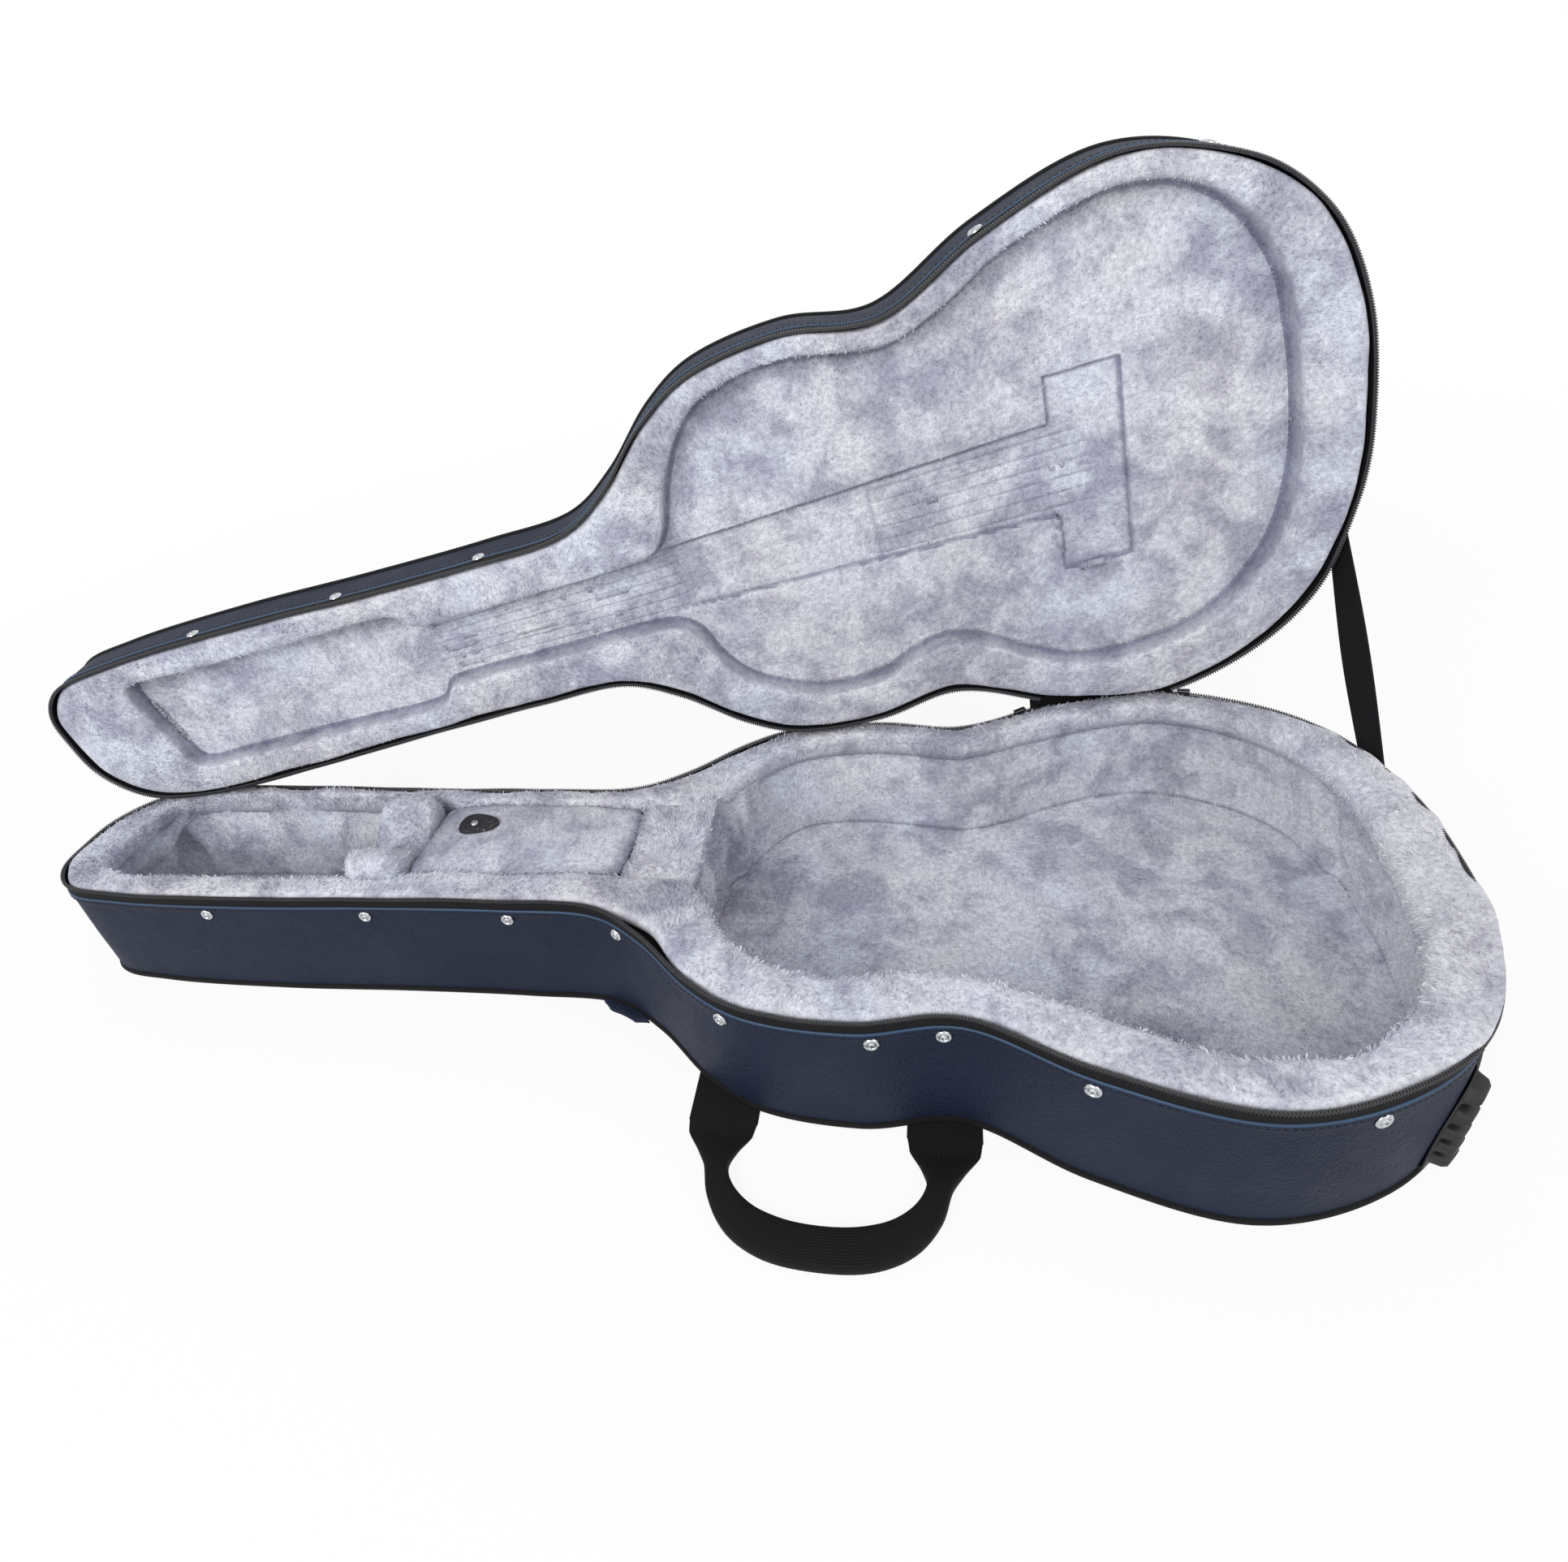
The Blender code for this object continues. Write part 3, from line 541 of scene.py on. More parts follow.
def strapSection(centre, across, through, width, thickness, roundness=0.5, corners=16):
    # a flat oval section: squarer for a strap, rounder for a grip
    points = []
    for k in range(corners):
        angle = math.tau * (k + 0.5) / corners
        x = math.copysign(abs(math.cos(angle)) ** roundness, math.cos(angle)) * width / 2
        y = math.copysign(abs(math.sin(angle)) ** roundness, math.sin(angle)) * thickness / 2
        points.append(centre + across * x + through * y)
    return points


def sewLine(bm, run, normals, pitch, size, closed=True):
    # short threads one after the other along a run
    total = lengthsOf(run, closed)
    for k in range(int(total[-1] / pitch)):
        distance = pitch * (k + 0.5)
        i = min(bisect_right(total, distance) - 1, len(run) - 1)
        along = (run[(i + 1) % len(run)] - run[i]).normalized()
        turn = Matrix((along, normals[i].cross(along).normalized(), normals[i])).transposed().to_4x4()
        shape = Matrix.Translation(placeAt(run, total, distance)) @ turn @ Matrix.Diagonal((*size, 1))
        bmesh.ops.create_icosphere(bm, subdivisions=1, radius=1, matrix=shape)


# Materials

finishSettings = {
    "leather": {"colour": (0.0078, 0.0132, 0.0330), "worn": (0.0132, 0.0200, 0.0440),
                "grain": 430, "crease": 60},
    "plush": {"light": (0.860, 0.878, 0.945), "dark": (0.500, 0.505, 0.610), "patch": 33, "streak": 260,
              "creased": (0.36, 0.36, 0.45)},
    # threads per metre along and across, depth of the weave, roughness, slant of the twill
    "woven": {"zipTape": (450, 900, 0.0003, 0.75, 0.5), "seamBinding": (190, 700, 0.0006, 0.7, 0.0),
              "webbing": (180, 420, 0.0006, 0.75, 0.0)},
    "black": (0.0060, 0.0060, 0.0070),
    # colour, roughness, size and depth of the grain, metallic
    "grained": {"foldedEdge": ((0.014, 0.045, 0.100), 0.5, 500, 0.0004, 0.0),
                "coilPlastic": ((0.034, 0.034, 0.038), 0.28, 900, 0.0001, 0.0),
                "softRubber": ((0.0065, 0.0065, 0.0075), 0.50, 900, 0.0003, 0.0),
                "brightSteel": ((0.47, 0.48, 0.50), 0.2, 700, 0.00005, 1.0),
                "dullSteel": ((0.13, 0.13, 0.14), 0.34, 700, 0.00005, 1.0),
                "sewingThread": ((0.012, 0.014, 0.022), 0.7, 2500, 0.0002, 0.0),
                "foamBeads": ((0.70, 0.70, 0.68), 0.9, 420, 0.0008, 0.0)},
}


def noiseOf(tree, scale, detail=3, kind="ShaderNodeTexNoise", **sockets):
    where = addNode(tree, "ShaderNodeTexCoord").outputs["Object"]
    return addNode(tree, kind, {"Vector": where, "Scale": scale, "Detail": detail, **sockets})


def rampOf(tree, source, low, high, colourLow, colourHigh):
    ramp = addNode(tree, "ShaderNodeValToRGB", {"Fac": source})
    for end, place, colour in zip(ramp.color_ramp.elements, (low, high), (colourLow, colourHigh)):
        end.position = place
        end.color = (*colour, 1)
    return ramp


def rangeOf(tree, source, low, high):
    return addNode(tree, "ShaderNodeMapRange", {"Value": source, "To Min": low, "To Max": high})


def multiplied(tree, first, *others):
    for other in others:
        mix = addNode(tree, "ShaderNodeMix", data_type="RGBA", blend_type="MULTIPLY")
        fill(mix, {0: 1.0, 6: first, 7: other})
        first = mix.outputs[2]
    return first


def attributeOf(tree, name):
    return addNode(tree, "ShaderNodeAttribute", attribute_name=name).outputs["Fac"]


def bumpOn(tree, height, strength, distance):
    return addNode(tree, "ShaderNodeBump", {"Strength": strength, "Distance": distance, "Height": height})


def leatherFinish(name, colour, worn, grain, crease):
    # pebbled leatherette: small cells, fine pores and soft creases
    material, tree, shader = newMaterial(name, colour, 0.5)
    pebbles = mathOf(tree, "MULTIPLY", noiseOf(tree, grain, kind="ShaderNodeTexVoronoi"), -1.0)
    pores = mathOf(tree, "MULTIPLY", noiseOf(tree, grain * 2.2, 2), 0.5)
    creases = noiseOf(tree, crease, 4)
    height = mathOf(tree, "ADD", mathOf(tree, "ADD", pebbles, pores), mathOf(tree, "MULTIPLY", creases, 1.6))
    fill(shader, {"Normal": bumpOn(tree, height, 0.7, 0.0012), "Specular IOR Level": 0.17,
                  "Base Color": rampOf(tree, noiseOf(tree, 9), 0.35, 0.7, colour, worn),
                  "Roughness": rangeOf(tree, creases, 0.45, 0.66)})
    return material


def plushColour(tree, settings):
    # brushed nap: dark and light patches in slow regions, with fine streaks and finer tufts
    white = (1.0, 1.0, 1.0)
    patches = noiseOf(tree, settings["patch"], Roughness=0.58, Distortion=0.4)
    regions = noiseOf(tree, settings["patch"] / 5, 2)
    mixed = mathOf(tree, "ADD", mathOf(tree, "MULTIPLY", patches, 0.62),
                   mathOf(tree, "MULTIPLY", regions, 0.38))
    nap = rampOf(tree, mixed, 0.40, 0.555, settings["dark"], settings["light"])
    hue = noiseOf(tree, settings["patch"] / 3, 1)
    tint = rampOf(tree, hue, 0.35, 0.65, (1.0, 0.985, 0.950), (0.965, 0.985, 1.0))
    fine = rampOf(tree, noiseOf(tree, settings["streak"], 2), 0.32, 0.68, (0.72, 0.72, 0.74), white)
    finest = rampOf(tree, noiseOf(tree, settings["streak"] * 3, 2), 0.35, 0.65, (0.80, 0.80, 0.82), white)
    # painted shade: where folds, steps and seams keep the light out, the crease attribute darkens the colour
    shaded = rampOf(tree, attributeOf(tree, "crease"), 0.0, 1.0, white, settings["creased"])
    return multiplied(tree, nap, tint, fine, finest, shaded)


def plushGroundFinish(name, settings):
    # the ground between the blades of the pile: a little darker as painted shade under the pile, with bumps
    # as small as they are
    material, tree, shader = newMaterial(name, settings["light"], 0.95)
    fill(shader, {"Base Color": multiplied(tree, plushColour(tree, settings), (0.95, 0.95, 0.96)),
                  "Normal": bumpOn(tree, noiseOf(tree, 300), 0.7, 0.0015),
                  "Sheen Weight": 0.35, "Sheen Roughness": 0.5})
    return material


def plushPileFinish(name, settings):
    # the pile itself: painted shade darkens each blade towards its root, each blade a little different
    material, tree, shader = newMaterial(name, settings["light"], 0.9)
    rootShade = rampOf(tree, attributeOf(tree, "height"), 0.0, 0.75, (0.84, 0.84, 0.86), (1.06, 1.06, 1.06))
    varied = rampOf(tree, attributeOf(tree, "shade"), 0.0, 1.0, (0.86, 0.86, 0.88), (1.08, 1.08, 1.07))
    fill(shader, {"Base Color": multiplied(tree, plushColour(tree, settings), rootShade, varied),
                  "Sheen Weight": 0.4, "Sheen Roughness": 0.45})
    return material


def wovenFinish(name, colour, along, across, depth, roughness, twill):
    # a weave on the cloth map: ribs along one way crossed by finer threads
    material, tree, shader = newMaterial(name, colour, roughness)
    threads = []
    for scale, turn in ((along, twill), (across, math.pi / 2 - twill)):
        where = addNode(tree, "ShaderNodeUVMap", uv_map="cloth")
        turned = addNode(tree, "ShaderNodeMapping", {"Vector": where, "Rotation": (0, 0, turn)})
        wave = addNode(tree, "ShaderNodeTexWave", {"Vector": turned, "Scale": scale, "Distortion": 0.6,
                                                   "Detail": 1.0, "Detail Scale": 1.5})
        threads.append(wave.outputs["Fac"])
    height = mathOf(tree, "MULTIPLY", *threads)
    # painted highlight on the raised threads and painted shade between them: the colour follows the weave's
    # height
    lighter = tuple(c * 1.6 for c in colour)
    fill(shader, {"Normal": bumpOn(tree, height, 0.8, depth), "Specular IOR Level": 0.2,
                  "Base Color": rampOf(tree, height, 0.1, 0.9, colour, lighter)})
    return material


def grainedFinish(name, colour, roughness, scale, depth, metallic):
    # moulded or polished surfaces with a fine uneven grain
    material, tree, shader = newMaterial(name, colour, roughness, metallic)
    grain = noiseOf(tree, scale)
    lighter = tuple(min(1, c * 1.25) for c in colour)
    fill(shader, {"Normal": bumpOn(tree, grain, 0.35, depth),
                  "Roughness": rangeOf(tree, grain, roughness * 0.75, min(1, roughness * 1.3)),
                  "Base Color": rampOf(tree, noiseOf(tree, scale * 0.06), 0.3, 0.7, colour, lighter)})
    return material


navyLeather = leatherFinish("navyLeather", **finishSettings["leather"])
plushGround = plushGroundFinish("plushGround", finishSettings["plush"])
plushPile = plushPileFinish("plushPile", finishSettings["plush"])
zipTape, seamBinding, webbing = (wovenFinish(name, finishSettings["black"], *values)
                                 for name, values in finishSettings["woven"].items())
foldedEdge, coilPlastic, softRubber, brightSteel, dullSteel, sewingThread, foamBeads = (
    grainedFinish(name, *values) for name, values in finishSettings["grained"].items())
print("materials made")


# Pile: bent blades planted all over the plush and combed in slow swirls

pileSettings = {
    "length": 0.0030,
    "width": 0.0010,
    # distance out, height and width of a blade at its root, middle and tip
    "blade": ((0.06, 0.0, 1.0), (0.22, 0.55, 0.85), (0.48, 0.92, 0.35)),
    "rise": 0.55,                       # how far the blades stand up against how far they lie down
    "lie": 0.90,
    "swirl": 11.0,                      # swirls per metre of the noise that combs them
    "bare": 0.12,                       # growth under which no blade stands
    "mapSpread": 0.004,                 # size of a blade on the bake map
}


def makeBlade(settings):
    bm = bmesh.new()
    bm.loops.layers.uv.new("OFBake")
    height = bm.verts.layers.float.new("height")
    length, width = settings["length"], settings["width"]
    bmesh.ops.create_grid(bm, x_segments=1, y_segments=2, size=0.5, calc_uvs=True)
    verts = sorted(bm.verts, key=lambda v: (round(v.co.y, 3), v.co.x))
    for row, (out, up, wide) in enumerate(settings["blade"]):
        for vert, side in zip(verts[row * 2:row * 2 + 2], (-0.5, 0.5)):
            vert.co = (length * out, side * width * wide, length * up)
            vert[height] = up
    mesh = meshFrom("blade", bm)
    mesh.shade_smooth()
    mesh.materials.append(plushPile)
    return bpy.data.objects.new("blade", mesh)


blade = makeBlade(pileSettings)


def pileTree(spacing, size, seed, settings):
    tree = bpy.data.node_groups.new("pile", "GeometryNodeTree")
    for way in ("INPUT", "OUTPUT"):
        tree.interface.new_socket("Geometry", in_out=way, socket_type="NodeSocketGeometry")

    def vectorMath(operation, *values, scale=None):
        sockets = dict(enumerate(values))
        if scale is not None:
            sockets["Scale"] = scale
        return addNode(tree, "ShaderNodeVectorMath", sockets, operation=operation)

    def attribute(name, **properties):
        return addNode(tree, "GeometryNodeInputNamedAttribute", {"Name": name}, **properties)

    def stored(name, geometry, value, **properties):
        return addNode(tree, "GeometryNodeStoreNamedAttribute",
                       {"Geometry": geometry, "Name": name, "Value": value}, **properties)

    def randomOf(offset, sockets, **properties):
        return addNode(tree, "FunctionNodeRandomValue", {"Seed": seed + offset, **sockets}, **properties)

    grow = attribute("grow")
    kept = addNode(tree, "FunctionNodeCompare", {"A": grow, "B": settings["bare"]}, operation="GREATER_THAN")
    spread = addNode(tree, "GeometryNodeDistributePointsOnFaces", distribute_method="POISSON")
    fill(spread, {"Mesh": addNode(tree, "NodeGroupInput"), "Selection": kept, "Distance Min": spacing,
                  "Density Max": 2.2 / spacing ** 2, "Seed": seed})
    normal = spread.outputs["Normal"]
    comb = addNode(tree, "ShaderNodeTexNoise",
                   {"Vector": addNode(tree, "GeometryNodeInputPosition"), "Scale": settings["swirl"],
                    "Detail": 3.0, "Roughness": 0.7})
    # the combing laid flat on the surface, then raised a little
    wind = vectorMath("SUBTRACT", comb.outputs["Color"], (0.5, 0.5, 0.5))
    flat = vectorMath("CROSS_PRODUCT", vectorMath("CROSS_PRODUCT", normal, wind), normal)
    lying = vectorMath("SCALE", vectorMath("NORMALIZE", flat), scale=settings["lie"])
    lean = vectorMath("ADD", lying, vectorMath("SCALE", normal, scale=settings["rise"]))
    spin = randomOf(1, {"Max": (0, 0, math.tau)}, data_type="FLOAT_VECTOR")
    turn = addNode(tree, "FunctionNodeAlignRotationToVector", {"Rotation": spin, "Vector": lean}, axis="Z")
    stature = randomOf(2, {2: 0.7 * size, 3: 1.3 * size}).outputs[1]
    source = addNode(tree, "GeometryNodeObjectInfo", {"Object": blade})
    plant = addNode(tree, "GeometryNodeInstanceOnPoints",
                    {"Points": spread, "Instance": source.outputs["Geometry"], "Rotation": turn,
                     "Scale": mathOf(tree, "MULTIPLY", stature, grow)})
    shade = stored("shade", plant, randomOf(3, {}).outputs[1], domain="INSTANCE")
    whole = addNode(tree, "GeometryNodeRealizeInstances", {0: shade})
    # each blade's own small map, moved to where it stands on the lining's map
    small = vectorMath("SCALE", attribute("OFBake", data_type="FLOAT_VECTOR"), scale=settings["mapSpread"])
    onMap = vectorMath("ADD", small, attribute("flat", data_type="FLOAT_VECTOR"))
    addNode(tree, "NodeGroupOutput", {0: stored("OFBake", whole, onMap, data_type="FLOAT2", domain="CORNER")})
    return tree


def growPile(carrier, body, spacing, size):
    # grows blades on a piece's skin and makes them a piece of their own
    ground = addObject("pileGround", carrier.data.copy())
    if "grow" not in ground.data.attributes:
        full = ground.data.attributes.new("grow", "FLOAT", "POINT")
        full.data.foreach_set("value", [1.0] * len(ground.data.vertices))
    seed = sum(ord(letter) for letter in carrier.name)
    ground.modifiers.new("pile", "NODES").node_group = pileTree(spacing, size, seed, pileSettings)
    bpy.context.view_layer.update()
    depsgraph = bpy.context.evaluated_depsgraph_get()
    grown = ground.evaluated_get(depsgraph)
    mesh = bpy.data.meshes.new_from_object(grown, preserve_all_data_layers=True, depsgraph=depsgraph)
    bpy.data.objects.remove(ground, do_unlink=True)
    mesh.shade_smooth()
    mesh.materials.clear()
    mesh.materials.append(plushPile)
    pile = addObject(carrier.name + "Pile", mesh)
    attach(pile, body)
    print("  pile", carrier.name, len(mesh.polygons), "faces")


def plushPiece(name, bm, body, spacing, size, thickness=0.003, sharp=None):
    # a padded piece and its pile; an open skin is given its thickness, a closed form has none
    piece = finishPiece(name, bm, plushGround, body, sharp=sharp)
    growPile(piece, body, spacing, size)
    if thickness:
        thicken(piece, thickness)


# Shell: side covers with their folded edge, hem stitching, seam bindings, zip tapes and teeth, outer panels

shellSettings = {
    # inset and height of the side covers' rows; their folded edge stands a little proud
    "baseCover": metres([(0.4, 6.6), (0.1, 8.5), (0, 11), (-0.2, 17), (-0.3, 24), (-0.4, 31), (-0.5, 38),
                         (-0.5, 45), (-0.5, 52), (-0.4, 59), (-0.4, 66), (-0.3, 73), (-0.2, 80), (0, 86),
                         (0, 90.4), (-0.6, 91.6), (-0.9, 93.5), (-0.9, 95.5), (-0.9, 96.7), (-0.7, 97.6),
                         (0, 98.1), (1, 97.9), (1.2, 96)]),
    "lidCover": metres([(0.4, 157.2), (0.1, 155.2), (-0.2, 152), (-0.4, 147), (-0.4, 142), (-0.3, 137),
                        (0, 132), (0, 128.5), (-0.6, 127.2), (-0.9, 125), (-0.9, 123.1), (-0.9, 121.9),
                        (-0.7, 121.1), (0, 120.6), (1, 120.8), (1.2, 122.8)]),
    "folds": (0.0977, 0.1210),          # heights of the painted highlight, a light blue band along the base's and lid's folded edges
    "edgeBand": 0.0006,                 # how much of it shows
    "coverThickness": 0.0010,
    "sag": [(0.16, 0.0007), (0.045, 0.0004)],
    "stitchHeights": (0.0936, 0.1250),
    "stitchOut": 0.0010,
    "stitchPitch": 0.0042,
    "stitchSize": (0.00145, 0.00042, 0.00036),
    "binding": (0.0016, 0.0033, 10),    # inset, radius and number of sides
    "bindingHeights": (0.0048, 0.1588),
    "foamWallOut": 0.0022,
    "zipEnds": (0.8275, 0.9235),        # the zip runs behind the sliders to the hinge tape
    "zipFoot": 0.0003,
    "zipTurn": (0.0125, 0.0016, 0.0012),    # insets of the tape turned in under the plush, and its step
    "zipWander": (17, 0.0004, 0.0012),  # in and out: waves per metre, middle and reach
    "zipDip": (11, 0.0007),             # up and down
    "tapeThickness": 0.0007,
    "coilCord": (0.0011, 0.0006, 6),    # radius, place over the tape's edge, and number of sides
    "toothPitch": 0.0019,
    "toothRadii": (0.00066, 0.00048),
    "toothHeight": 0.0026,
    "toothPlace": (0.0006, 0.0004),     # up and out from the cord
    "toothDepth": 2.1,                  # how much deeper than wide
    "panelInset": 0.0035,
    "panelThickness": 0.0012,
}


def sideCover(name, rows, fold, body):
    bm = gridSkin([atHeight(insetRing(outline, inset), z) for inset, z in rows], closed=True)
    faceOutward(bm)
    low, high = sorted((rows[0][1], rows[-1][1]))
    inner = (high - low) * 0.25
    roughen(bm, shellSettings["sag"], lambda c: min(1, min(c.z - low, high - c.z) / inner))
    # painted highlight: a light blue band of faces along the fold
    for face in bm.faces:
        if abs(face.calc_center_median().z - fold) < shellSettings["edgeBand"]:
            face.material_index = 1
    piece = finishPiece(name, bm, [navyLeather, foldedEdge], body)
    thicken(piece, shellSettings["coverThickness"])


def hemStitching(name, height, body):
    bm = bmesh.new()
    ring = atHeight(insetRing(outline, -shellSettings["stitchOut"]), height)
    normals = [n.to_3d() for n in outlineNormals]
    sewLine(bm, ring, normals, shellSettings["stitchPitch"], shellSettings["stitchSize"])
    finishPiece(name, bm, sewingThread, body, standsForNode=False)


def footBinding(name, z, body):
    inset, radius, sides = shellSettings["binding"]
    rows = []
    for k in range(sides):
        angle = math.tau * k / sides
        rows.append(atHeight(insetRing(outline, inset - radius * math.cos(angle)),
                             z + radius * math.sin(angle)))
    finishPiece(name, tubeSkin(rows, True), seamBinding, body)


def zipIndices():
    # along the ring from the zip's front end round the head, near side and tail to its rear end
    low, high = shellSettings["zipEnds"]
    start = next(i for i in range(halfway, len(outline)) if outline[i].x < low)
    stop = max(i for i in range(halfway, len(outline)) if outline[i].x > high)
    return list(range(start, len(outline))) + list(range(0, stop + 1))


def wavyEdge(height, seed):
    # the zip's free edge, which wanders a little in and out and up and down
    waves, middle, reach = shellSettings["zipWander"]
    dips, depth = shellSettings["zipDip"]
    places = []
    for p, n in zip(outline, outlineNormals):
        sway = noise.noise(Vector((p.x * waves, p.y * waves, seed)))
        dip = noise.noise(Vector((p.x * dips, p.y * dips, seed + 9)))
        places.append((p - n * (middle + reach * sway)).to_3d() + upward * (height + depth * dip))
    return places


def zipTapeSide(name, indices, edge, low, way, body):
    # a woven tape up to its free edge, its foot turned in under the plush
    turned, corner, step = shellSettings["zipTurn"]
    foot = atHeight(insetRing(outline, shellSettings["zipFoot"]), low)
    rows = [atHeight(insetRing(outline, inset), low + way * step) for inset in (turned, corner)]
    rows += [[a.lerp(b, k / 6) for a, b in zip(foot, edge)] for k in range(7)]
    bm = gridSkin([[row[i] for i in indices] for row in rows])
    faceOutward(bm)
    tape = finishPiece(name, bm, zipTape, body)
    thicken(tape, shellSettings["tapeThickness"], 0)


def zipTeethSide(name, indices, edge, way, body):
    # a coil of teeth round a cord on the tape's edge
    radius, over, sides = shellSettings["coilCord"]
    run = [edge[i] + upward * way * over for i in indices]
    normals = [outlineNormals[i].to_3d() for i in indices]
    rows = []
    for k in range(sides):
        angle = math.tau * k / sides
        rows.append([p + n * radius * math.cos(angle) + upward * radius * math.sin(angle)
                     for p, n in zip(run, normals)])
    bm = tubeSkin(rows, False)
    total = lengthsOf(run, False)
    wide, narrow = shellSettings["toothRadii"]
    above, out = shellSettings["toothPlace"]
    up = upward * way
    for k in range(int(total[-1] / shellSettings["toothPitch"])):
        distance = shellSettings["toothPitch"] * (k + 0.5)
        i = min(bisect_right(total, distance) - 1, len(run) - 2)
        along = (run[i + 1] - run[i]).normalized()
        turn = Matrix((along, normals[i], up)).transposed().to_4x4()
        place = placeAt(run, total, distance) + up * above + normals[i] * out
        shape = Matrix.Translation(place) @ turn @ Matrix.Diagonal((1.0, shellSettings["toothDepth"], 1.0, 1))
        bmesh.ops.create_cone(bm, cap_ends=True, segments=6, radius1=wide, radius2=narrow,
                              depth=shellSettings["toothHeight"], matrix=shape)
    finishPiece(name, bm, coilPlastic, body, sharp=45)


def outerPanel(name, z, crown, body, looksUp):
    # a leatherette panel across the whole case, a little crowned towards its middle
    def height(p):
        reach = min(1, max(0, (0.19 - abs(p.y)) / 0.19)) * smoothStep(p.x, 0.0, 0.15)
        return z + crown * (reach * (1 - smoothStep(p.x, 0.92, 1.06)))

    bm = spanSheet(insetRing(outline, shellSettings["panelInset"]), 56, height)
    faceTowards(bm, (0.5, 0, 10 if looksUp else -10))
    roughen(bm, [(0.12, 0.0004)])
    thicken(finishPiece(name, bm, navyLeather, body), shellSettings["panelThickness"])


def foamWall(name, low, high, thickness, body):
    out = shellSettings["foamWallOut"]
    rows = [(out, low), (out, high), (thickness, high), (thickness, low)]
    bm = tubeSkin([atHeight(insetRing(outline, inset), z) for inset, z in rows], True)
    finishPiece(name, bm, foamBeads, body, sharp=40)


def foamPlate(name, inset, low, high, body):
    bm = flatPlate(insetRing(outline, inset), low, high)
    softEdges(bm, 0.0008, 2, 60)
    finishPiece(name, bm, foamBeads, body, sharp=40)


foamWall("base_foam_wall", 0.0078, 0.0958, 0.0070, "base")
foamPlate("base_foam_floor", 0.0135, 0.0078, 0.0108, "base")
foamWall("lid_foam_rim", lidRim + 0.0130, lidTop - 0.0045, 0.0110, "lid")
foamPlate("lid_foam_panel", 0.0115, lidTop - 0.0085, lidTop - 0.0045, "lid")
for half, body in enumerate(("base", "lid")):
    sideCover(body + "_side_cover", shellSettings[body + "Cover"], shellSettings["folds"][half], body)
    hemStitching(body + "_hem_stitching", shellSettings["stitchHeights"][half], body)
    footBinding(body + "_binding", shellSettings["bindingHeights"][half], body)
for body, low, high, seed in (("base", 0.0955, 0.1060, 3.0), ("lid", 0.1230, 0.1108, 31.0)):
    way = 1 if high > low else -1
    edge = wavyEdge(high, seed)
    zipTapeSide(body + "_zip_tape", zipIndices(), edge, low, way, body)
    zipTeethSide(body + "_zip_teeth", zipIndices(), edge, way, body)
outerPanel("back_cover", 0.0016, 0.0, "base", False)
outerPanel("lid_front_cover", lidTop - 0.0006, 0.0006, "lid", True)
print("shell made")


# Plush linings of the base

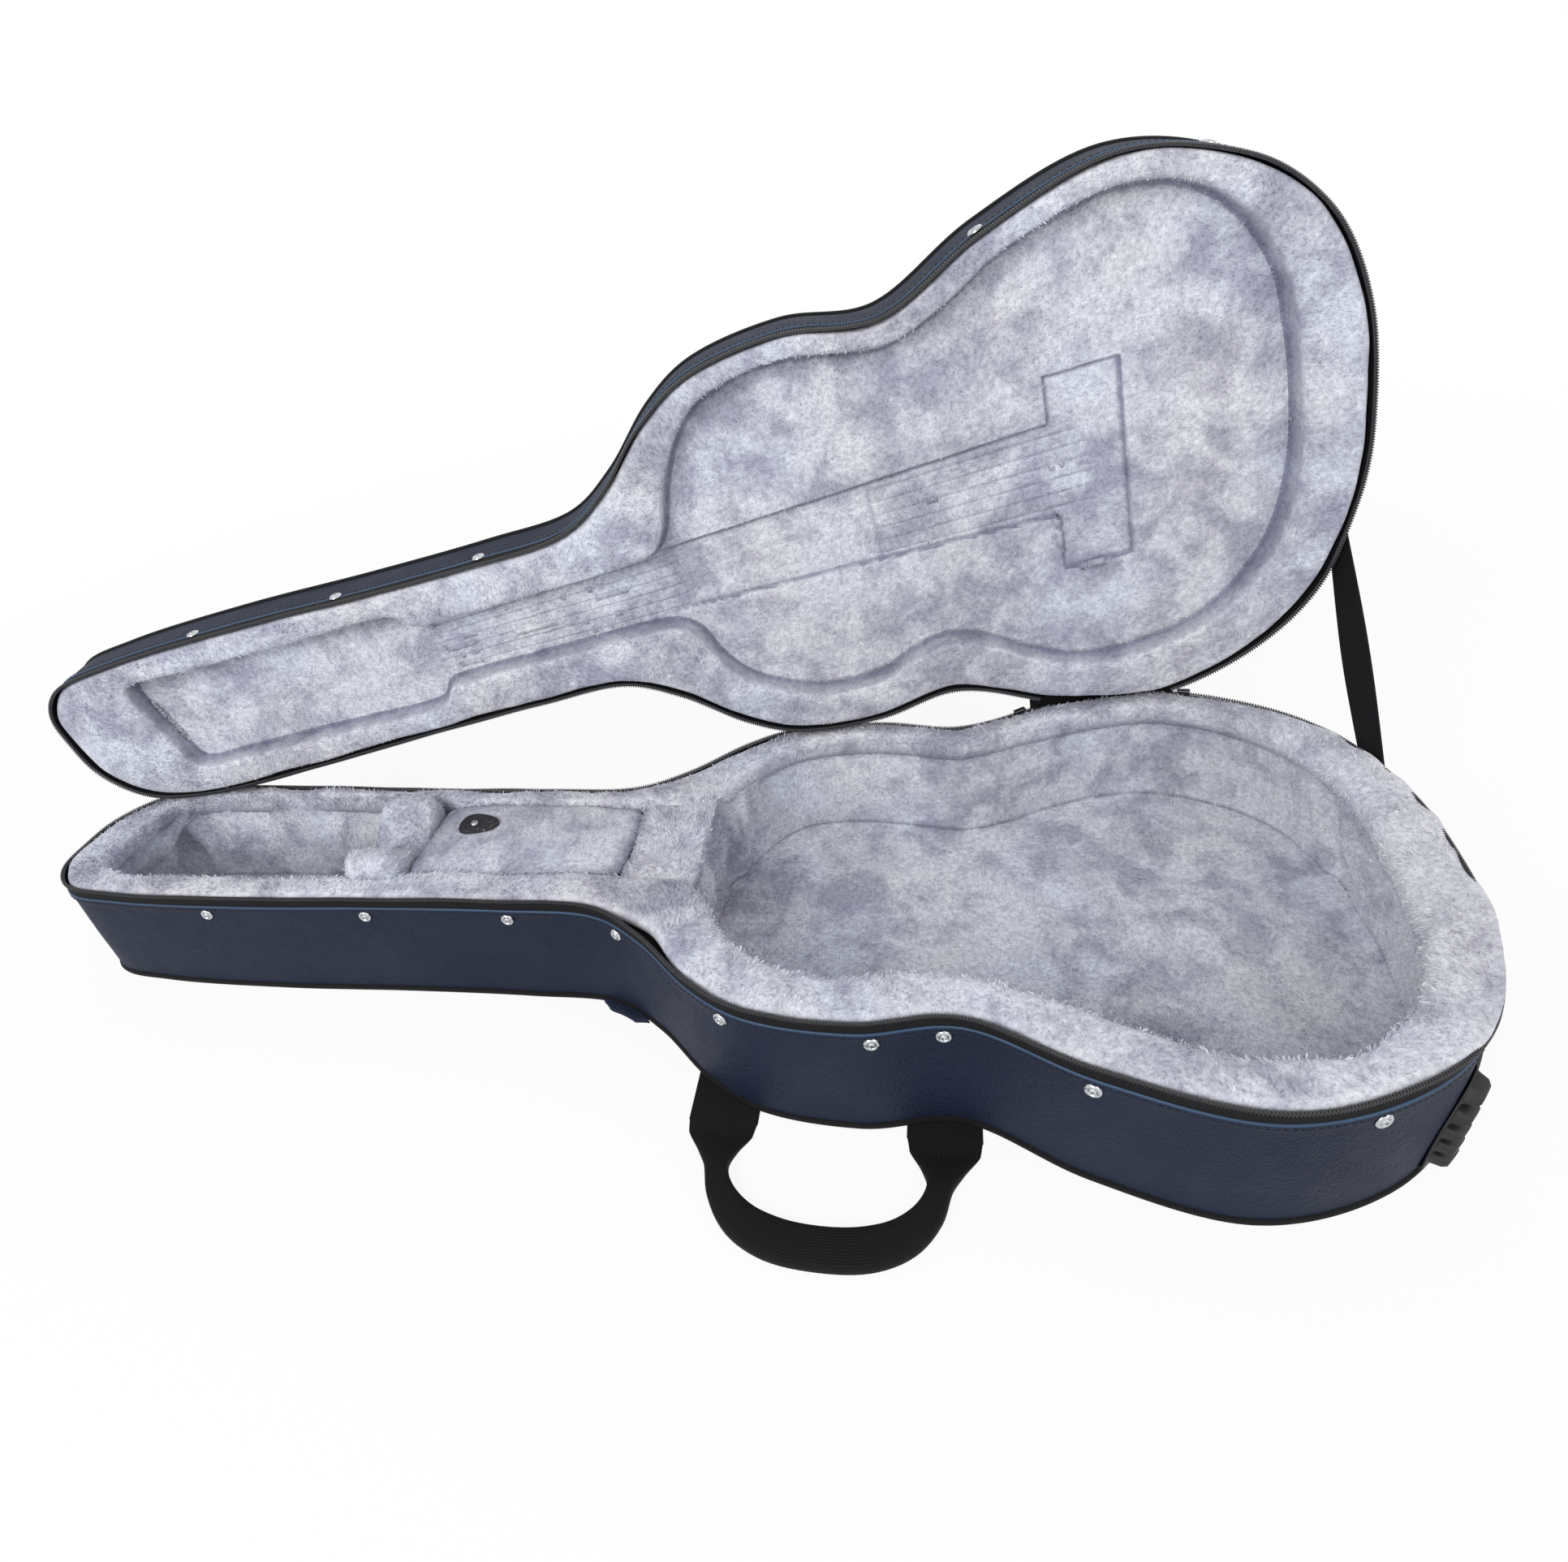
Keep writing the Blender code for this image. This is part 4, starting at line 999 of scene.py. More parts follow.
baseLiningSettings = {
    "rimEdge": metres([(42, -6), (43, -22), (50, -36), (68, -45), (140, -47), (230, -47), (290, -46),
                       (335, -41), (360, -36), (440, -35), (510, -35), (545, -37), (566, -41), (586, -54.5),
                       (597, -76), (615, -97), (637, -112), (661, -119), (705, -118), (744, -114),
                       (792, -124), (827, -137), (856, -149), (887, -160), (933, -164), (957, -159),
                       (975, -148), (1004, -119), (1018, -90), (1024, -58), (1027, 0), (1027, 50), (1016, 95),
                       (993, 133), (955, 163), (915, 174), (870, 166), (820, 147), (765, 127), (715, 134),
                       (668, 135), (625, 122), (594, 90), (575, 62), (560, 50), (510, 47.5), (440, 47.5),
                       (360, 48.5), (335, 50), (290, 55), (200, 57), (100, 56), (70, 53), (50, 42),
                       (43, 14)]),
    "rimKeys": metres([(42, -6), (68, -45), (290, -46), (510, -35), (590, -63), (700, -118), (757, -116),
                       (915, -163), (1004, -119), (1027, 0), (1010, 107), (915, 174), (765, 127),
                       (700, 134.5), (582, 72), (510, 47.5), (290, 55), (70, 53)]),
    # share of the way from the outer edge to the inner, and height over the rim
    "rimRows": [(0.000, -0.0085), (0.004, -0.0050), (0.018, -0.0020), (0.055, -0.0002), (0.12, 0.0008),
                (0.20, 0.0013), (0.30, 0.0016), (0.40, 0.0018), (0.50, 0.0020), (0.60, 0.0022),
                (0.70, 0.0022), (0.80, 0.0019), (0.88, 0.0011), (0.935, -0.0004), (0.972, -0.0026),
                (0.995, -0.0056), (1.0, -0.0088), (0.99, -0.0122), (0.955, -0.0156), (0.90, -0.0182),
                (0.82, -0.0200)],
    "rimInset": 0.0026,
    "rimSway": (30, 0.0006),            # waves per metre and reach of the rim's outer edge
    "rimTop": 0.0034,                   # most that the plush stands over the rim
    "puff": [(0.050, 0.0024), (0.020, 0.0012)],
    "bulge": (0.0036, 0.0010),          # at the tail, how far the plush goes out over the zip, and its height
    "bunch": (46, 0.0026),              # waves per metre and height of the tail's bunched rim
    "pulledBack": (0.545, 0.034, 0.0065),   # middle, reach and width of the gap beside the zip
    "mouth": metres([(565.5, 0), (566, -30), (572, -46), (588, -64), (596, -82), (613, -102), (635, -117),
                     (661, -124), (705, -123), (744, -119), (792, -129), (827, -142), (856, -154),
                     (887, -165), (933, -169), (959, -164), (979, -152), (1008, -121), (1023, -90),
                     (1029, -58), (1032, 0), (1032, 50), (1021, 97), (997, 136), (957, 168), (915, 179),
                     (870, 171), (820, 151), (765, 131), (715, 138), (668, 139), (621, 125), (590, 92),
                     (574, 66), (567, 40)]),
    "mouthKeys": metres([(565.5, 0), (596, -82), (661, -124), (757, -120), (920, -169), (1006, -123),
                         (1032, 0), (1010, 119), (920, 179), (765, 131), (668, 139), (585, 82)]),
    "cavity": metres([(566.5, 0)] + bothSides([(571, 42), (590, 84), (625, 124), (668, 135), (715, 132),
                                               (765, 125), (800, 135), (840, 156), (880, 170), (925, 174.5),
                                               (975, 158), (1012, 124), (1034, 78), (1041, 20)], (1042, 0))),
    "cavityKeys": metres([(566.5, 0)] + bothSides([(590, 82), (668, 135), (765, 125), (925, 174.5),
                                                   (1012, 124)], (1042, 0))),
    "cavityCounts": [24, 26, 26, 44, 28, 34, 34, 28, 44, 26, 26, 24],
    "headMouth": metres([(41, -6), (41, -22), (48, -39), (66, -49), (140, -51), (230, -51), (279, -49),
                         (286, -40), (287, 0), (286, 42), (279, 57), (200, 60), (100, 59), (68, 56), (47, 44),
                         (41, 14)]),
    "headFloor": metres([(30, -6), (31, -24), (45, -42), (70, -50), (140, -52), (230, -51.5), (272, -49),
                         (281, -40), (282, 0), (281, 40), (272, 49), (200, 52), (100, 51), (64, 49), (40, 40),
                         (31, 14)]),
    "headKeys": metres([(35, -6), (68, -50), (200, -51), (284.5, 0), (200, 56), (68, 54)]),
    "headCounts": [20, 34, 34, 34, 34, 20],
    "wallTops": (0.0130, 0.0050, 0.0110),   # below the rim: body, body beside the heel pad, head
    "wallRows": 26,
    "wallNoise": [(0.06, 0.0024), (0.02, 0.0008)],
    # centre, reach and height of the folds pressed into the walls
    "bodyFolds": [((0.592, 0.045, 0.075), 0.095, 0.0110), ((0.590, -0.03, 0.06), 0.075, 0.0080),
                  ((1.03, 0.08, 0.07), 0.09, 0.0085)],
    "headFolds": [((0.05, 0.02, 0.07), 0.08, 0.0095), ((0.17, 0.06, 0.07), 0.10, 0.0040)],
    "foldWaves": (42, 30, 14),          # per metre along x, y and z
    "wallFoot": 0.0138,
    "floorTop": 0.0158,
    "floorNoise": [(0.07, 0.0016), (0.025, 0.0006)],
}


def makeBaseRim(settings):
    edge = keyedRing(settings["rimEdge"], settings["rimKeys"], caseSettings["counts"])
    middle, width, gap = settings["pulledBack"]
    over, raised = settings["bulge"]
    waves, reach = settings["rimSway"]
    # at the tail's far corner and end the rim's plush bulges over the zip
    bulging = [smoothStep(n.x, 0.45, 0.80) for n in outlineNormals]
    outer = []
    for p, n, bulge in zip(outline, outlineNormals, bulging):
        sway = reach * noise.noise(Vector((p.x * waves, p.y * waves, 5)))
        pulledBack = gap * bump(p.x, middle, width) * (1 if p.y < 0 else 0)
        outer.append(p - n * (settings["rimInset"] + sway + pulledBack - over * bulge))
    rows = []
    for share, lift in settings["rimRows"]:
        row = []
        for a, b, bulge in zip(outer, edge, bulging):
            # beside the heel pad the rim runs on level
            level = 0.85 * smoothStep(a.x, 0.518, 0.534) * (1 - smoothStep(a.x, 0.556, 0.572))
            fall = lift * (1 - level) if lift < 0 and share > 0.8 else lift
            if share < 0.1:
                fall += (raised - lift) * bulge
            row.append(a.lerp(b, share).to_3d() + upward * (baseRim + fall))
        rows.append(row)
    bm = gridSkin(rows, closed=True)
    faceTowards(bm, (0.6, 0, 9))
    roughen(bm, settings["puff"], lambda c: smoothStep(c.z, baseRim - 0.010, baseRim - 0.001))
    waves, high = settings["bunch"]
    for vert in bm.verts:
        vert.co.z = min(vert.co.z, baseRim + settings["rimTop"])
        bunch = smoothStep(vert.co.x, 0.99, 1.03) * noise.noise(Vector(vert.co) * waves)
        vert.co.z += high * bunch
    rowShare = bm.verts.layers.float["row"]
    # painted shade: the rim's plush darkens from its inner lip down under its overhang
    setNap(bm, lambda v: smoothStep(v[rowShare], 0.10, 0.24) * (1 - 0.5 * smoothStep(v[rowShare], 0.75, 0.9)),
           lambda v: 0.75 * smoothStep(v[rowShare], 0.80, 0.95))
    faceTowards(bm, (0.6, 0, 9))
    plushPiece("rim_lining", bm, "base", 0.0018, 1.0)


def makeWall(name, top, foot, topHeight, seenFrom, folds, settings):
    # a lining from the rim's underside down to the floor, standing out into the foam's room
    footHeight = settings["wallFoot"]
    rows = []
    for k in range(settings["wallRows"] + 1):
        share = k / settings["wallRows"]
        flare = smoothStep(share, 0.0, 0.45)
        row = []
        for a, b in zip(top, foot):
            high = topHeight(a)
            row.append(a.lerp(b, flare).to_3d() + upward * (high + (footHeight - high) * share))
        rows.append(row)
    bm = gridSkin(rows, closed=True)
    faceTowards(bm, seenFrom)
    roughen(bm, settings["wallNoise"], lambda c: smoothStep(c.z, footHeight, footHeight + 0.02))
    wrinkle(bm, folds, settings["foldWaves"])
    rowShare = bm.verts.layers.float["row"]
    # painted shade: the wall darkens at its top under the rim's overhang and at its foot along the floor
    setNap(bm, lambda v: 1 - 0.7 * smoothStep(v[rowShare], 0.90, 1.0),
           lambda v: max(0.5 * (1 - smoothStep(v[rowShare], 0.0, 0.16)), smoothStep(v[rowShare], 0.92, 1.0)))
    faceTowards(bm, seenFrom)
    plushPiece(name, bm, "base", 0.0020, 0.8)


def wrinkle(bm, folds, waves):
    # ridged folds around given places
    def foldAt(c):
        lift = 0.0
        for centre, reach, height in folds:
            near = 1 - smoothStep((c - Vector(centre)).length, 0.25 * reach, reach)
            if near > 0:
                wave = noise.noise(Vector([place * wave for place, wave in zip(c, waves)]))
                lift += near * height * (1 - 2.4 * abs(wave))
        return lift

    liftAll(bm, foldAt)


def makeBaseLinings(settings):
    makeBaseRim(settings)
    mouth = keyedRing(settings["mouth"], settings["mouthKeys"], settings["cavityCounts"])
    cavity = keyedRing(settings["cavity"], settings["cavityKeys"], settings["cavityCounts"])
    headMouth = keyedRing(settings["headMouth"], settings["headKeys"], settings["headCounts"])
    headFloor = keyedRing(settings["headFloor"], settings["headKeys"], settings["headCounts"])
    low, high, head = settings["wallTops"]
    makeWall("body_wall_lining", mouth, cavity,
             lambda p: baseRim - low + (low - high) * (1 - smoothStep(p.x, 0.568, 0.590)), (0.80, 0.0, 0.07),
             settings["bodyFolds"], settings)
    makeWall("head_wall_lining", headMouth, headFloor, lambda p: baseRim - head, (0.17, 0.0, 0.07),
             settings["headFolds"], settings)
    for name, ring, across, middle in (("body_floor_lining", cavity, 84, 0.8),
                                       ("head_floor_lining", headFloor, 26, 0.17)):
        bm = spanSheet(insetRing(ring, -0.0008), across, lambda p: settings["floorTop"])
        faceTowards(bm, (middle, 0, 9))
        roughen(bm, settings["floorNoise"])
        faceTowards(bm, (middle, 0, 9))
        plushPiece(name, bm, "base", 0.0019, 0.8)


makeBaseLinings(baseLiningSettings)
print("base linings made")


# Plush lining of the lid

lidLiningSettings = {
    "recess": metres([(87, -2), (81, -36), (83.5, -45.5), (92, -48.5), (140, -47.5), (250, -46.2), (334, -45),
                      (344.5, -42), (354.5, -31.5), (367, -29.2), (460, -29.5), (545, -30.5), (563, -34.5),
                      (573, -46), (588, -83), (607, -113), (630, -132), (660, -140), (697, -141.5),
                      (761, -130), (800, -142), (840, -163), (885, -176), (918, -179), (955, -170),
                      (985, -147), (1010, -105), (1020, -55), (1023.5, 0), (1022, 36), (1013.5, 76),
                      (998, 106), (974, 132.5), (945, 149), (914, 155.5), (885, 157), (858, 153), (825, 137),
                      (787, 113), (760, 107), (735, 114), (714, 124), (690, 127.5), (660, 125.5), (622, 110),
                      (600, 94), (584, 70), (573, 42), (562, 33.5), (545, 30), (460, 30), (370, 30.5),
                      (357.5, 32.5), (348, 44), (338, 47.8), (250, 47), (140, 46), (106, 45.5), (96, 40)]),
    "keys": metres([(87, -2), (92, -48.5), (290, -45.5), (510, -30), (590, -88), (697, -141.5), (761, -130),
                    (918, -179), (1006, -115), (1023.5, 0), (1004, 97), (914, 155.5), (761, 107), (700, 126),
                    (590, 82), (510, 30), (290, 47.2), (106, 45.5)]),
    "rimInset": 0.0026,
    # share of the way from the outer edge to the recess, and depth behind the rim
    "rimRows": [(0.000, 0.0090), (0.004, 0.0052), (0.018, 0.0022), (0.055, 0.0004), (0.12, -0.0004),
                (0.21, -0.0008), (0.32, -0.0010), (0.43, -0.0011), (0.54, -0.0011), (0.65, -0.0010),
                (0.75, -0.0009), (0.84, -0.0006), (0.90, -0.0002)],
    # distance inside the recess's edge, depth, and painted shade on the step's wall, darkest at its foot
    "stepRows": [(-0.0012, 0.0004, 0.0), (-0.0004, 0.0014, 0.0), (0.0001, 0.0032, 0.15),
                 (0.0003, 0.0060, 0.35), (0.0004, 0.0090, 0.5), (0.0007, 0.0118, 0.6), (0.0013, 0.0142, 0.8),
                 (0.0026, 0.0158, 1.0), (0.0050, 0.0164, 0.8)],
    "rimNoise": [(0.05, 0.0014), (0.02, 0.0007)],
    "recessNoise": [(0.09, 0.0014), (0.03, 0.0005)],
    "recessEdge": 0.0046,               # the sheet starts this far inside the recess's edge
    "recessDepth": 0.0163,
    # seams of the neck's channel: x, near y and far y at its two ends
    "channel": ((0.575, -0.0300, 0.0240), (0.862, -0.0415, 0.0295)),
    "fretEnd": 0.7300,
    "bridge": (0.8605, 0.9120, -0.0750, 0.0740),
    "channelDepth": 0.0034,
    "fretDepth": 0.0014,
    # strings pressed in: x, first and last y at the two ends
    "strings": ((0.360, -0.0202, 0.0190), (0.885, -0.0325, 0.0235)),
    "stringCount": 6,
    "stringDepth": 0.0008,
    "stringWidth": 0.0012,
    "seamCuts": (-0.0040, -0.0012, 0.0012, 0.0040),     # edges beside a seam
    "stringCuts": (-0.0011, 0, 0.0011),
    "seamShade": (0.0004, 0.0042),      # distances from a seam between which its painted shade fades
}


def alongSeam(ends, x, place):
    # y of a straight seam at x, given its two ends
    first, last = ends
    share = (x - first[0]) / (last[0] - first[0])
    return first[place] + (last[place] - first[place]) * share


def stringAt(settings, number, x):
    low = alongSeam(settings["strings"], x, 1)
    high = alongSeam(settings["strings"], x, 2)
    return low + (high - low) * number / (settings["stringCount"] - 1)


def cutSeams(bm, settings):
    # edges along every seam, so that its step is sharp
    left, right, low, high = settings["bridge"]
    cuts = settings["seamCuts"]
    lines = [((x + d, 0, 0), (1, 0, 0)) for x in (left, right, settings["fretEnd"]) for d in cuts]
    lines += [((0, y + d, 0), (0, 1, 0)) for y in (low, high) for d in cuts]
    seams = [[(x, ends[place]) for x, ends in zip((settings["channel"][0][0], settings["channel"][1][0]),
                                                  settings["channel"])] + [cuts] for place in (1, 2)]
    reach = [end[0] for end in settings["strings"]]
    for number in range(settings["stringCount"]):
        seams.append([(x, stringAt(settings, number, x)) for x in reach] + [settings["stringCuts"]])
    for (xFrom, yFrom), (xTo, yTo), offsets in seams:
        lines += [((xFrom, yFrom + d, 0), (-(yTo - yFrom), xTo - xFrom, 0)) for d in offsets]
    for point, across in lines:
        bmesh.ops.bisect_plane(bm, geom=bm.verts[:] + bm.edges[:] + bm.faces[:], dist=1e-6, plane_co=point,
                               plane_no=across)


def within(value, low, high, soft=0.0012):
    # 1 between two limits, with a sharp step at each
    return smoothStep(value, low - soft, low + soft) * (1 - smoothStep(value, high - soft, high + soft))


def pressedShape(p, settings):
    # depth of the pressed shapes at a place in the recess, and the painted shade there along seams, the fret
    # end and strings
    def beside(value, limit):
        return 1 - smoothStep(abs(value - limit), *settings["seamShade"])

    first, last = settings["channel"][0][0], settings["channel"][1][0]
    near, far = alongSeam(settings["channel"], p.x, 1), alongSeam(settings["channel"], p.x, 2)
    start = smoothStep(p.x, first - 0.03, first + 0.01)
    channel = within(p.y, near, far) * start * (1 - smoothStep(p.x, last, last + 0.004))
    left, right, low, high = settings["bridge"]
    bridge = within(p.x, left, right) * within(p.y, low, high)
    fret = within(p.x, first, settings["fretEnd"]) * channel
    dip = settings["channelDepth"] * max(channel, bridge) + settings["fretDepth"] * fret
    dark = 0.0
    if channel > 0.02 and bridge < 0.02:
        dark = max(beside(p.y, near), beside(p.y, far)) * start * 0.9
    if bridge > 0.02:
        # the channel's mouth into the bridge has no seam
        sides = (beside(p.x, right), beside(p.x, left) * (1 - within(p.y, near, far)))
        dark = max(dark, max(beside(p.y, low), beside(p.y, high)) * 0.9, max(sides) * 0.9)
    dark = max(dark, 0.55 * fret * (1 - smoothStep(abs(p.x - settings["fretEnd"]), 0.0004, 0.004)))
    pressed = within(p.x, settings["strings"][0][0], settings["strings"][1][0], 0.012) * (1 - 0.8 * fret)
    line = pressed * max(bump(p.y, stringAt(settings, k, p.x), settings["stringWidth"])
                         for k in range(settings["stringCount"]))
    return dip + settings["stringDepth"] * line, max(dark, 0.45 * line)


def makeLidRim(recess, settings):
    outer = insetRing(outline, settings["rimInset"])
    rows = []
    for share, depth in settings["rimRows"]:
        rows.append([a.lerp(b, share).to_3d() + upward * (lidRim + depth) for a, b in zip(outer, recess)])
    for inside, depth, dark in settings["stepRows"]:
        rows.append(atHeight(insetRing(recess, inside), lidRim + depth))
    bm = gridSkin(rows, closed=True)
    faceTowards(bm, (0.6, 0, -9))
    roughen(bm, settings["rimNoise"], lambda c: 1 - smoothStep(c.z, lidRim + 0.001, lidRim + 0.005))
    faceTowards(bm, (0.6, 0, -9))
    rowShare = bm.verts.layers.float["row"]
    # painted shade down the recess's step, from the darkness of its rows
    darkness = [0.0] * len(settings["rimRows"]) + [dark for inside, depth, dark in settings["stepRows"]]
    setNap(bm, lambda v: (smoothStep(v[rowShare], 0.10, 0.24)
                          * (1 - 0.55 * smoothStep(v[rowShare], 0.60, 0.75))),
           lambda v: darkness[round(v[rowShare] * (len(rows) - 1))])
    plushPiece("lid_rim_lining", bm, "lid", 0.0018, 0.85)


def makeLidRecess(recess, settings):
    ring = insetRing(recess, settings["recessEdge"])
    bm = spanSheet(ring, 80, lambda p: lidRim + settings["recessDepth"])
    cutSeams(bm, settings)
    bmesh.ops.remove_doubles(bm, verts=bm.verts, dist=2e-5)
    shapes = [pressedShape(vert.co, settings) for vert in bm.verts]
    for vert, shape in zip(bm.verts, shapes):
        vert.co.z += shape[0]
    faceTowards(bm, (0.6, 0, -9))
    roughen(bm, settings["recessNoise"], lambda c: 0.8)
    bm.verts.index_update()
    # painted shade along the channel's and bridge's seams, the fret end and the pressed strings
    setNap(bm, lambda v: 1 - 0.72 * shapes[v.index][1], lambda v: shapes[v.index][1])
    plushPiece("lid_recess_lining", bm, "lid", 0.0022, 0.75)


lidRecess = keyedRing(lidLiningSettings["recess"], lidLiningSettings["keys"], caseSettings["counts"])
makeLidRim(lidRecess, lidLiningSettings)
makeLidRecess(lidRecess, lidLiningSettings)
print("lid lining made")


# Neck rest, accessory box with its flap, heel pad

restSettings = {
    # y and height round the rest, seen along the case
    "profile": metres([(-47.5, 16), (-48, 60), (-48, 103), (-47, 115), (-43, 121), (-36, 123.2), (-28, 120.5),
                       (-21.5, 112.5), (-12, 103.5), (1, 100.5), (13, 104.5), (21.5, 114.5), (29, 121.8),
                       (37.5, 124), (44.5, 120.5), (47.5, 113), (48, 103), (48, 60), (47.5, 16)]),
    # x of its sections, and how far each is drawn in
    "sections": metres([(286.2, 9), (287, 5.5), (288.4, 2.8), (290.6, 1), (294, 0), (299, -0.4), (305, -0.6),
                        (311, -0.6), (317, -0.4), (322, 0), (326.5, 1.2), (329.8, 3), (332.2, 5.8),
                        (333.5, 9.5)]),
    "noise": [(0.03, 0.0012), (0.012, 0.0005)],
}


def makeNeckRest(settings):
    smooth = evenRun(smoothRun(settings["profile"]), 70)
    rows = []
    for x, inset in settings["sections"]:
        section = []
        for p in smooth:
            squeeze = inset * smoothStep(p.y, 0.05, 0.10)
            y = p.x - math.copysign(min(abs(p.x), inset), p.x) * (0.4 + 0.6 * smoothStep(p.y, 0.05, 0.10))
            section.append(Vector((x, y, p.y - squeeze)))
        rows.append(section)
    bm = ringSkin(rows)
    roughen(bm, settings["noise"], lambda c: smoothStep(c.z, 0.05, 0.09))
    # painted shade: the rest darkens down its sides below its top, where it meets the lining
    setNap(bm, lambda v: 1.0, lambda v: 0.9 * (1 - smoothStep(v.co.z, 0.088, 0.1085)))
    plushPiece("neck_rest", bm, "base", 0.0018, 0.9, thickness=None)


boxSettings = {
    "low": (0.338, -0.0468, 0.0170),
    "high": (0.5135, 0.0468, 0.1008),
    "wall": 0.0022,
    "cornerRadius": 0.006,
    "flap": metres([(338.5, -33), (342, -34.5), (506, -34.5), (513.8, -28), (516, 1), (516, 33), (509, 42.5),
                    (497, 45.8), (350, 46.2), (344.5, 42)]),
    "flapHeights": (0.1012, 0.1060),
    "flapNoise": [(0.04, 0.0014), (0.015, 0.0005)],
    "flapCrown": 0.0018,
    "tab": metres([(360.5, 16), (363.5, 10), (370.5, 7.5), (380.5, 9), (390.5, 13), (395, 20), (390.5, 27),
                   (380.5, 31), (370.5, 32.5), (363.5, 30), (360.5, 24)]),
    "tabHeights": (0.1082, 0.1093),
    "tabRim": ((0.0016, 0.0), (0.0005, -0.0003)),   # width and depth of its edge and of the step inside it
    "rivet": (0.3728, 0.0204),
    "rivetProfile": [(0.0, 0.0014), (0.0012, 0.0013), (0.0022, 0.0010), (0.0029, 0.0005), (0.0032, 0.0),
                     (0.0032, -0.0003), (0.0, -0.0003)],
    # x, height, width, length and thickness of the flap's hinge
    "tape": (0.5165, 0.1035, 0.006, 0.08, 0.0008),
}

heelSettings = {
    "low": (0.5165, -0.050, 0.0170),
    "high": (0.5740, 0.050, 0.1065),
    "crown": 0.002,
    "lip": (0.5610, 0.086, 0.100),      # below its lip the heel pad stays inside this x
    # y past which its far corner reaches under the rim, how far, and the two x between which it starts
    "farCorner": (0.03, 0.009, 0.540, 0.560),
    "noise": [(0.035, 0.0026), (0.014, 0.0008)],
}


def roundedSlab(points, low, high, crown):
    # a stuffed slab: its outline cut into even quads, rounded at the edges and crowned on top
    dense = evenRun(smoothRing(points, 4), 160, True)
    centre = sum(dense, Vector((0, 0))) / len(dense)
    middle = (low + high) / 2
    half = (high - low) / 2
    rows = []
    for share, side in ((0.0, -1), (0.5, -1), (0.90, -1), (0.97, -0.75), (1.0, -0.35), (1.0, 0.35),
                        (0.975, 0.78), (0.93, 1), (0.85, 1.05), (0.72, 1.12), (0.58, 1.18), (0.44, 1.22),
                        (0.30, 1.25), (0.15, 1.26), (0.0, 1.26)):
        z = middle + half * side if side <= 1 else high + crown * (side - 1) / 0.26
        rows.append([centre.lerp(p, share).to_3d() + upward * z for p in dense])
    bm = gridSkin(rows, closed=True)
    bmesh.ops.remove_doubles(bm, verts=bm.verts, dist=1e-5)
    bmesh.ops.recalc_face_normals(bm, faces=bm.faces)
    return bm


def makeBox(settings):
    ends = list(zip(settings["low"], settings["high"]))
    bm = bmesh.new()
    bmesh.ops.create_cube(bm, size=1)
    bmesh.ops.scale(bm, verts=bm.verts, vec=[high - low for low, high in ends])
    bmesh.ops.translate(bm, verts=bm.verts, vec=[(low + high) / 2 for low, high in ends])
    upright = [e for e in bm.edges if abs(e.verts[0].co.z - e.verts[1].co.z) > 0.01]
    bmesh.ops.bevel(bm, geom=upright, offset=settings["cornerRadius"], affect="EDGES", segments=4,
                    profile=0.5, material=-1)
    bmesh.ops.delete(bm, geom=[f for f in bm.faces if f.normal.z > 0.9], context="FACES_ONLY")
    bmesh.ops.subdivide_edges(bm, edges=bm.edges, cuts=3, use_grid_fill=True)
    bmesh.ops.reverse_faces(bm, faces=bm.faces)
    plushPiece("accessory_box", bm, "base", 0.0034, 0.8, settings["wall"], sharp=50)


def makeFlap(settings):
    low, high = settings["flapHeights"]
    bm = roundedSlab(settings["flap"], low, high, settings["flapCrown"])
    roughen(bm, settings["flapNoise"], lambda c: smoothStep(c.z, low, high))
    rowShare = bm.verts.layers.float["row"]
    # painted shade round the flap's rounded sides and underside
    setNap(bm, lambda v: 1.0, lambda v: 0.85 * (1 - smoothStep(v[rowShare], 0.42, 0.58)))
    plushPiece("accessory_flap", bm, "accessory_flap", 0.0018, 0.75, thickness=None)


def makePullTab(settings):
    bm = flatPlate(smoothRing(settings["tab"], 5), *settings["tabHeights"])
    top = [f for f in bm.faces if f.normal.z > 0.9]
    for width, depth in settings["tabRim"]:
        bmesh.ops.inset_region(bm, faces=top, thickness=width, depth=depth)
    softEdges(bm, 0.0003, 2, 60)
    finishPiece("flap_pull_tab", bm, softRubber, "accessory_flap", sharp=50)
    bm = bmesh.new()
    spinProfile(bm, settings["rivetProfile"], 24)
    bmesh.ops.translate(bm, verts=bm.verts, vec=(*settings["rivet"], settings["tabHeights"][1]))
    closedBody(bm)
    finishPiece("flap_rivet", bm, brightSteel, "accessory_flap", sharp=50)


def makeHeel(settings):
    low, high = Vector(settings["low"]), Vector(settings["high"])
    corners = [Vector(c) for c in ((low.x, low.y), (high.x, low.y), (high.x, high.y), (low.x, high.y))]
    points = []
    for k, corner in enumerate(corners):
        points += [corner, (corner + corners[(k + 1) % 4]) / 2]
    bm = roundedSlab(points, low.z, high.z, settings["crown"])
    limit, under, over = settings["lip"]
    yFrom, out, xFrom, xTo = settings["farCorner"]
    for vert in bm.verts:
        vert.co.x = min(vert.co.x, limit + (high.x - limit) * smoothStep(vert.co.z, under, over))
        if vert.co.y > yFrom:
            vert.co.y += out * smoothStep(vert.co.x, xFrom, xTo)
    roughen(bm, settings["noise"], lambda c: smoothStep(c.z, 0.07, 0.10))
    # painted shade along the heel pad's end against the flap
    setNap(bm, lambda v: 1.0, lambda v: 0.8 * (1 - smoothStep(v.co.x, 0.5172, 0.5215)))
    plushPiece("heel_block", bm, "base", 0.0018, 1.0, thickness=None)


